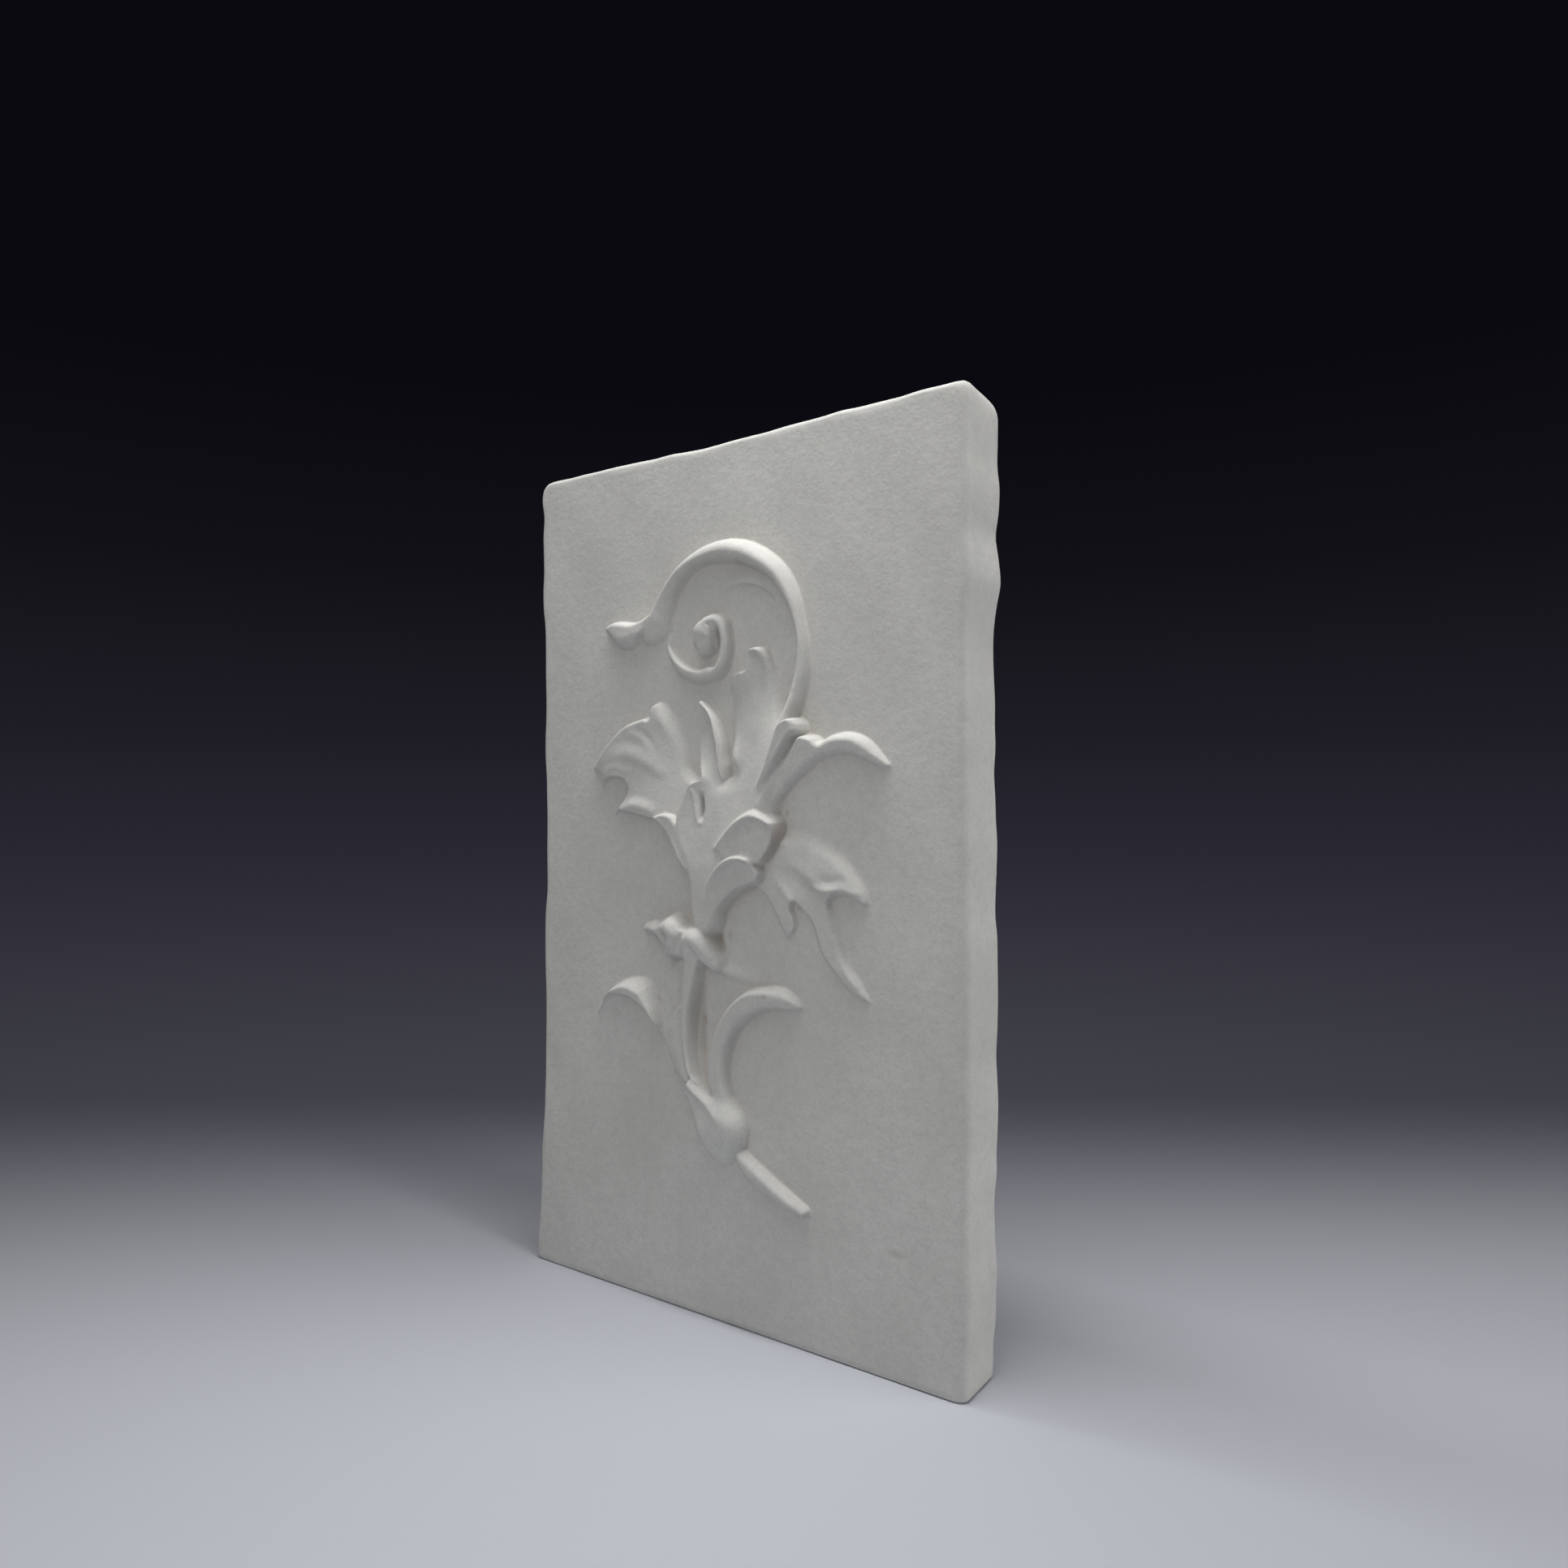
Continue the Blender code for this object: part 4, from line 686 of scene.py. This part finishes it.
def makePanel():
    halfW, midZ, halfD = panelSizes["width"] / 2, panelSizes["height"] / 2, panelSizes["depth"] / 2
    wide, high = panelSizes["drawnWidth"], panelSizes["drawnHeight"]
    step, around = panelSizes["fieldStep"], panelSizes["hollowReach"]
    placesX, placesZ = np.arange(-wide / 2, wide / 2 + step, step), np.arange(0, high + step, step)
    fieldX, fieldZ = np.meshgrid(placesX, placesZ)
    height = carvingHeight(fieldX, fieldZ)
    # how far each point lies under the heights around it, used for painted shade and dirt in hollows
    hollow = boxMean(boxMean(height, around), around) - height
    stainAndShade = stainAndShadeStrength(fieldX, fieldZ)
    bm = frontGrid(height, stainAndShade)
    drawnX, drawnZ = np.array([v.co[:2] for v in bm.verts]).T
    swellX, swellZ = panelSizes["swellWaves"]
    rippleX, rippleZ = panelSizes["rippleWaves"]
    ground = panelSizes["groundSwell"] * np.sin(drawnX * swellX + 1) * np.sin(drawnZ * swellZ)
    ground += panelSizes["groundRipple"] * np.sin(drawnX * rippleX + drawnZ * rippleZ)
    rise = sampled(height, drawnX, drawnZ) * panelSizes["reliefDepth"] / panelSizes["drawnDepth"] + ground
    # the slab's outline at the front and, with rounder corners, at the back
    flatX, flatZ = drawnX * panelSizes["drawnUnit"], drawnZ * panelSizes["drawnUnit"]
    outX, outZ = outline(flatX, flatZ, panelSizes["cornerRound"], panelSizes["frontShare"])
    farX, farZ = outline(flatX, flatZ, panelSizes["backCorner"], 1)
    # only the outermost part of the front is drawn in, to leave room for the rounded edge
    power = panelSizes["roundPower"]
    sideRound = np.where(drawnX > 0, panelSizes["rightRound"], panelSizes["edgeRound"])
    drawInX = sideRound * (flatX / halfW) ** power
    drawInZ = panelSizes["edgeRound"] * (flatZ / midZ - 1) ** power
    drawInZ = np.where(drawInZ < 0, drawInZ * panelSizes["footRound"] / panelSizes["edgeRound"], drawInZ)
    hollowDirtAndShadeLayer = bm.verts.layers.float.new("hollow")
    stainAndShadeLayer = bm.verts.layers.float.new("stainAndShade")
    home = {}
    places = zip(bm.verts, outX, outZ, drawInX, drawInZ, farX, farZ, rise, sampled(hollow, drawnX, drawnZ),
                 sampled(stainAndShade, drawnX, drawnZ))
    for vert, x, z, inX, inZ, backX, backZ, up, low, dark in places:
        vert.co = (x - inX, -halfD - up, z - inZ)
        vert[hollowDirtAndShadeLayer] = low
        vert[stainAndShadeLayer] = dark
        if vert.is_boundary:
            home[vert] = (inX, inZ, x, z, backX - x, backZ - z)
    growBody(bm, home)
    bmesh.ops.recalc_face_normals(bm, faces=bm.faces)
    # the rim grows its faces in no fixed order, so points and faces are put in order of place
    for parts, placeOf in ((bm.verts, lambda v: v.co[:]), (bm.faces, lambda f: f.calc_center_median()[:])):
        for k, part in enumerate(sorted(parts, key=placeOf)):
            part.index = k
        parts.sort()
    panel = meshObject("plasterPanel", bm)
    panel.data.shade_smooth()
    panel.data.set_sharp_from_angle(angle=panelSizes["sharpAngle"])
    triangles = sum(len(p.vertices) - 2 for p in panel.data.polygons)
    print("panel made,", triangles, "triangles")
    return panel


plasterLooks = {
    "pale": (0.665, 0.655, 0.625, 1),
    "dull": (0.565, 0.555, 0.525, 1),
    "grey": (0.47, 0.465, 0.445, 1),
    "hollowDirtAndShade": (0.5, 0.43, 0.36, 1),
    "stainAndShadeBrown": (0.27, 0.2, 0.15, 1),
    "roughness": 0.88,
    "gloss": 0.25,
    "noises": {  # scale, detail, roughness
        "clouds": (14, 5, 0.55),
        "grain": (620, 3, 0.7),
        "mottle": (170, 3, 0.6),
    },
    "tints": [  # by what, the stretch of it that counts, strength at its ends, colour
        ("clouds", 0.35, 0.65, 0.1, 0.75, "dull"),
        ("mottle", 0.42, 0.75, 0, 0.3, "grey"),
        ("grain", 0.45, 0.8, 0, 0.55, "grey"),
        # painted shade, partly dirt: the deeper a point lies under the heights around it, the darker and
        # warmer its colour, for dirt in hollows and for the shade there
        ("hollow", 1, 6, 0, 0.35, "hollowDirtAndShade"),
        # real stains and painted shade, both from the stain paths, darken the colour towards brown
        ("stainAndShade", 0, 1.2, 0, 0.7, "stainAndShadeBrown"),
    ],
    "bumps": [("grain", 0.3, 0.0004), ("mottle", 0.3, 0.0008)],  # by what, strength, depth
}


def remap(tree, source, low, high, toLow=0, toHigh=1):
    n = tree.nodes.new("ShaderNodeMapRange")
    for name, value in zip(("From Min", "From Max", "To Min", "To Max"), (low, high, toLow, toHigh)):
        n.inputs[name].default_value = value
    tree.links.new(source, n.inputs["Value"])
    return n


def plasterMaterial():
    mat = bpy.data.materials.new("castPlaster")
    mat.use_nodes = True
    tree = mat.node_tree
    nodes, links = tree.nodes, tree.links
    shader = nodes["Principled BSDF"]
    shader.inputs["Roughness"].default_value = plasterLooks["roughness"]
    shader.inputs["Specular IOR Level"].default_value = plasterLooks["gloss"]
    place = nodes.new("ShaderNodeTexCoord")

    def noise(facts):
        n = nodes.new("ShaderNodeTexNoise")
        for name, value in zip(("Scale", "Detail", "Roughness"), facts):
            n.inputs[name].default_value = value
        links.new(place.outputs["Object"], n.inputs["Vector"])
        return n.outputs["Fac"]

    def attribute(name):
        n = nodes.new("ShaderNodeAttribute")
        n.attribute_name = name
        return n.outputs["Fac"]

    def mixColour(factor, a, b):
        n = nodes.new("ShaderNodeMix")
        n.data_type = "RGBA"
        links.new(factor, n.inputs["Factor"])
        for value, socket in ((a, n.inputs["A"]), (b, n.inputs["B"])):
            if isinstance(value, tuple):
                socket.default_value = value
            else:
                links.new(value, socket)
        return n.outputs["Result"]

    def bump(height, strength, distance, before):
        n = nodes.new("ShaderNodeBump")
        n.inputs["Strength"].default_value = strength
        n.inputs["Distance"].default_value = distance
        links.new(height, n.inputs["Height"])
        if before:
            links.new(before, n.inputs["Normal"])
        return n.outputs["Normal"]

    sources = {name: noise(facts) for name, facts in plasterLooks["noises"].items()}
    for name in ("hollow", "stainAndShade"):
        sources[name] = attribute(name)
    colour = plasterLooks["pale"]
    for name, *ends, tint in plasterLooks["tints"]:
        strength = remap(tree, sources[name], *ends).outputs["Result"]
        colour = mixColour(strength, colour, plasterLooks[tint])
    links.new(colour, shader.inputs["Base Color"])
    normal = None
    for name, strength, depth in plasterLooks["bumps"]:
        normal = bump(sources[name], strength, depth, normal)
    links.new(normal, shader.inputs["Normal"])
    return mat


panel = makePanel()
panel.data.materials.append(plasterMaterial())
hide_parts("relief_panel")
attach(panel, "root")

# camera where the photograph was taken from
cameraFacts = {
    "place": (0.3945, -0.5081, 0.292), "turn": 35.79, "tilt": 1.02,
    "lens": 25.49, "sensor": 36, "nearest": 0.01,
}
cameraData = bpy.data.cameras.new("camera")
cameraData.lens = cameraFacts["lens"]
cameraData.sensor_width = cameraFacts["sensor"]
cameraData.clip_start = cameraFacts["nearest"]
camera = newObject("camera", cameraData)
camera.location = cameraFacts["place"]
camera.rotation_euler = (math.radians(90 + cameraFacts["tilt"]), 0, math.radians(cameraFacts["turn"]))
bpy.context.scene.camera = camera

# floor and light
stageFacts = {
    "floorColour": (0.54, 0.558, 0.603, 1),
    "floorRoughness": 0.7,
    "floorGloss": 0.1,
    "floorSize": 9,
    "floorFade": (-0.12, 0.5),  # the floor fades into the dark over this stretch behind the panel
    "skyReach": 0.5,
    "sky": [  # height in the view, from -skyReach to skyReach, and colour
        (-0.35, (0.07, 0.07, 0.088, 1)), (-0.2, (0.0475, 0.0475, 0.062, 1)),
        (-0.05, (0.024, 0.022, 0.034, 1)), (0.06, (0.0132, 0.0126, 0.0187, 1)),
        (0.2, (0.006, 0.0056, 0.0085, 1)), (0.35, (0.0033, 0.003, 0.0052, 1)),
    ],
}
# name: place, target, size, watts, spread in degrees
studioLights = {
    "overheadEdge": ((0.1, -0.08, 1), (0.1, -0.06, 0), (0.8, 0.08), 4.3, 180),
    "overheadWide": ((0.1, -0.18, 1.5), (0.05, -0.1, 0), (1.6, 0.24), 3.6, 180),
    "overheadLow": ((0.18, -0.3, 0.98), (0.1, -0.22, 0), (0.55, 0.45), 0.5, 100),
    "rightSide": ((1.2, 0.55, 0.25), (0, 0, 0.2), (0.7, 0.5), 5.4, 180),
    "frontLeft": ((-0.5, -1.2, 0.4), (0, 0, 0.3), (1, 0.7), 0.74, 180),
    "frontHigh": ((0.2, -0.9, 0.9), (0, 0, 0.3), (1.2, 0.8), 1.75, 180),
    "frontNear": ((0.1, -0.6, 0.45), (0, 0, 0.4), (0.6, 0.3), 0.55, 180),
}


def makeFloor():
    bm = bmesh.new()
    bmesh.ops.create_grid(bm, x_segments=1, y_segments=1, size=stageFacts["floorSize"] / 2)
    floor = meshObject("floor", bm)
    mat = bpy.data.materials.new("paleFloor")
    mat.use_nodes = True
    tree = mat.node_tree
    nodes, links = tree.nodes, tree.links
    shader = nodes["Principled BSDF"]
    shader.inputs["Base Color"].default_value = stageFacts["floorColour"]
    shader.inputs["Roughness"].default_value = stageFacts["floorRoughness"]
    shader.inputs["Specular IOR Level"].default_value = stageFacts["floorGloss"]
    place = nodes.new("ShaderNodeTexCoord")
    along = nodes.new("ShaderNodeVectorMath")
    along.operation = "DOT_PRODUCT"
    turn = math.radians(cameraFacts["turn"])
    along.inputs[1].default_value = (-math.sin(turn), math.cos(turn), 0)
    links.new(place.outputs["Object"], along.inputs[0])
    fade = remap(tree, along.outputs["Value"], *stageFacts["floorFade"], 1, 0)
    fade.interpolation_type = "SMOOTHSTEP"
    links.new(fade.outputs["Result"], shader.inputs["Alpha"])
    floor.data.materials.append(mat)
    return floor


def areaLight(name, place, target, size, watts, spread):
    data = bpy.data.lights.new(name, "AREA")
    data.shape = "RECTANGLE"
    data.size, data.size_y = size
    data.energy = watts
    data.spread = math.radians(spread)
    light = newObject(name, data)
    light.location = place
    light.rotation_euler = (Vector(target) - Vector(place)).to_track_quat("-Z", "Y").to_euler()
    light.visible_camera = False


def makeSky():
    # dark all round, lighter towards the floor and below it
    world = bpy.data.worlds.new("room")
    bpy.context.scene.world = world
    world.use_nodes = True
    tree = world.node_tree
    nodes, links = tree.nodes, tree.links
    way = nodes.new("ShaderNodeTexCoord")
    split = nodes.new("ShaderNodeSeparateXYZ")
    links.new(way.outputs["Generated"], split.inputs["Vector"])
    fade = remap(tree, split.outputs["Z"], -stageFacts["skyReach"], stageFacts["skyReach"])
    ramp = nodes.new("ShaderNodeValToRGB")
    stops = ramp.color_ramp.elements
    for k, (height, colour) in enumerate(stageFacts["sky"]):
        stop = stops[k] if k < 2 else stops.new(1)
        stop.position = 0.5 + height / (2 * stageFacts["skyReach"])
        stop.color = colour
    links.new(fade.outputs["Result"], ramp.inputs["Fac"])
    links.new(ramp.outputs["Color"], nodes["Background"].inputs["Color"])


makeFloor()
makeSky()
for name, facts in studioLights.items():
    areaLight(name, *facts)
bpy.context.scene.view_settings.view_transform = "Standard"
print("stage, light and camera ready")
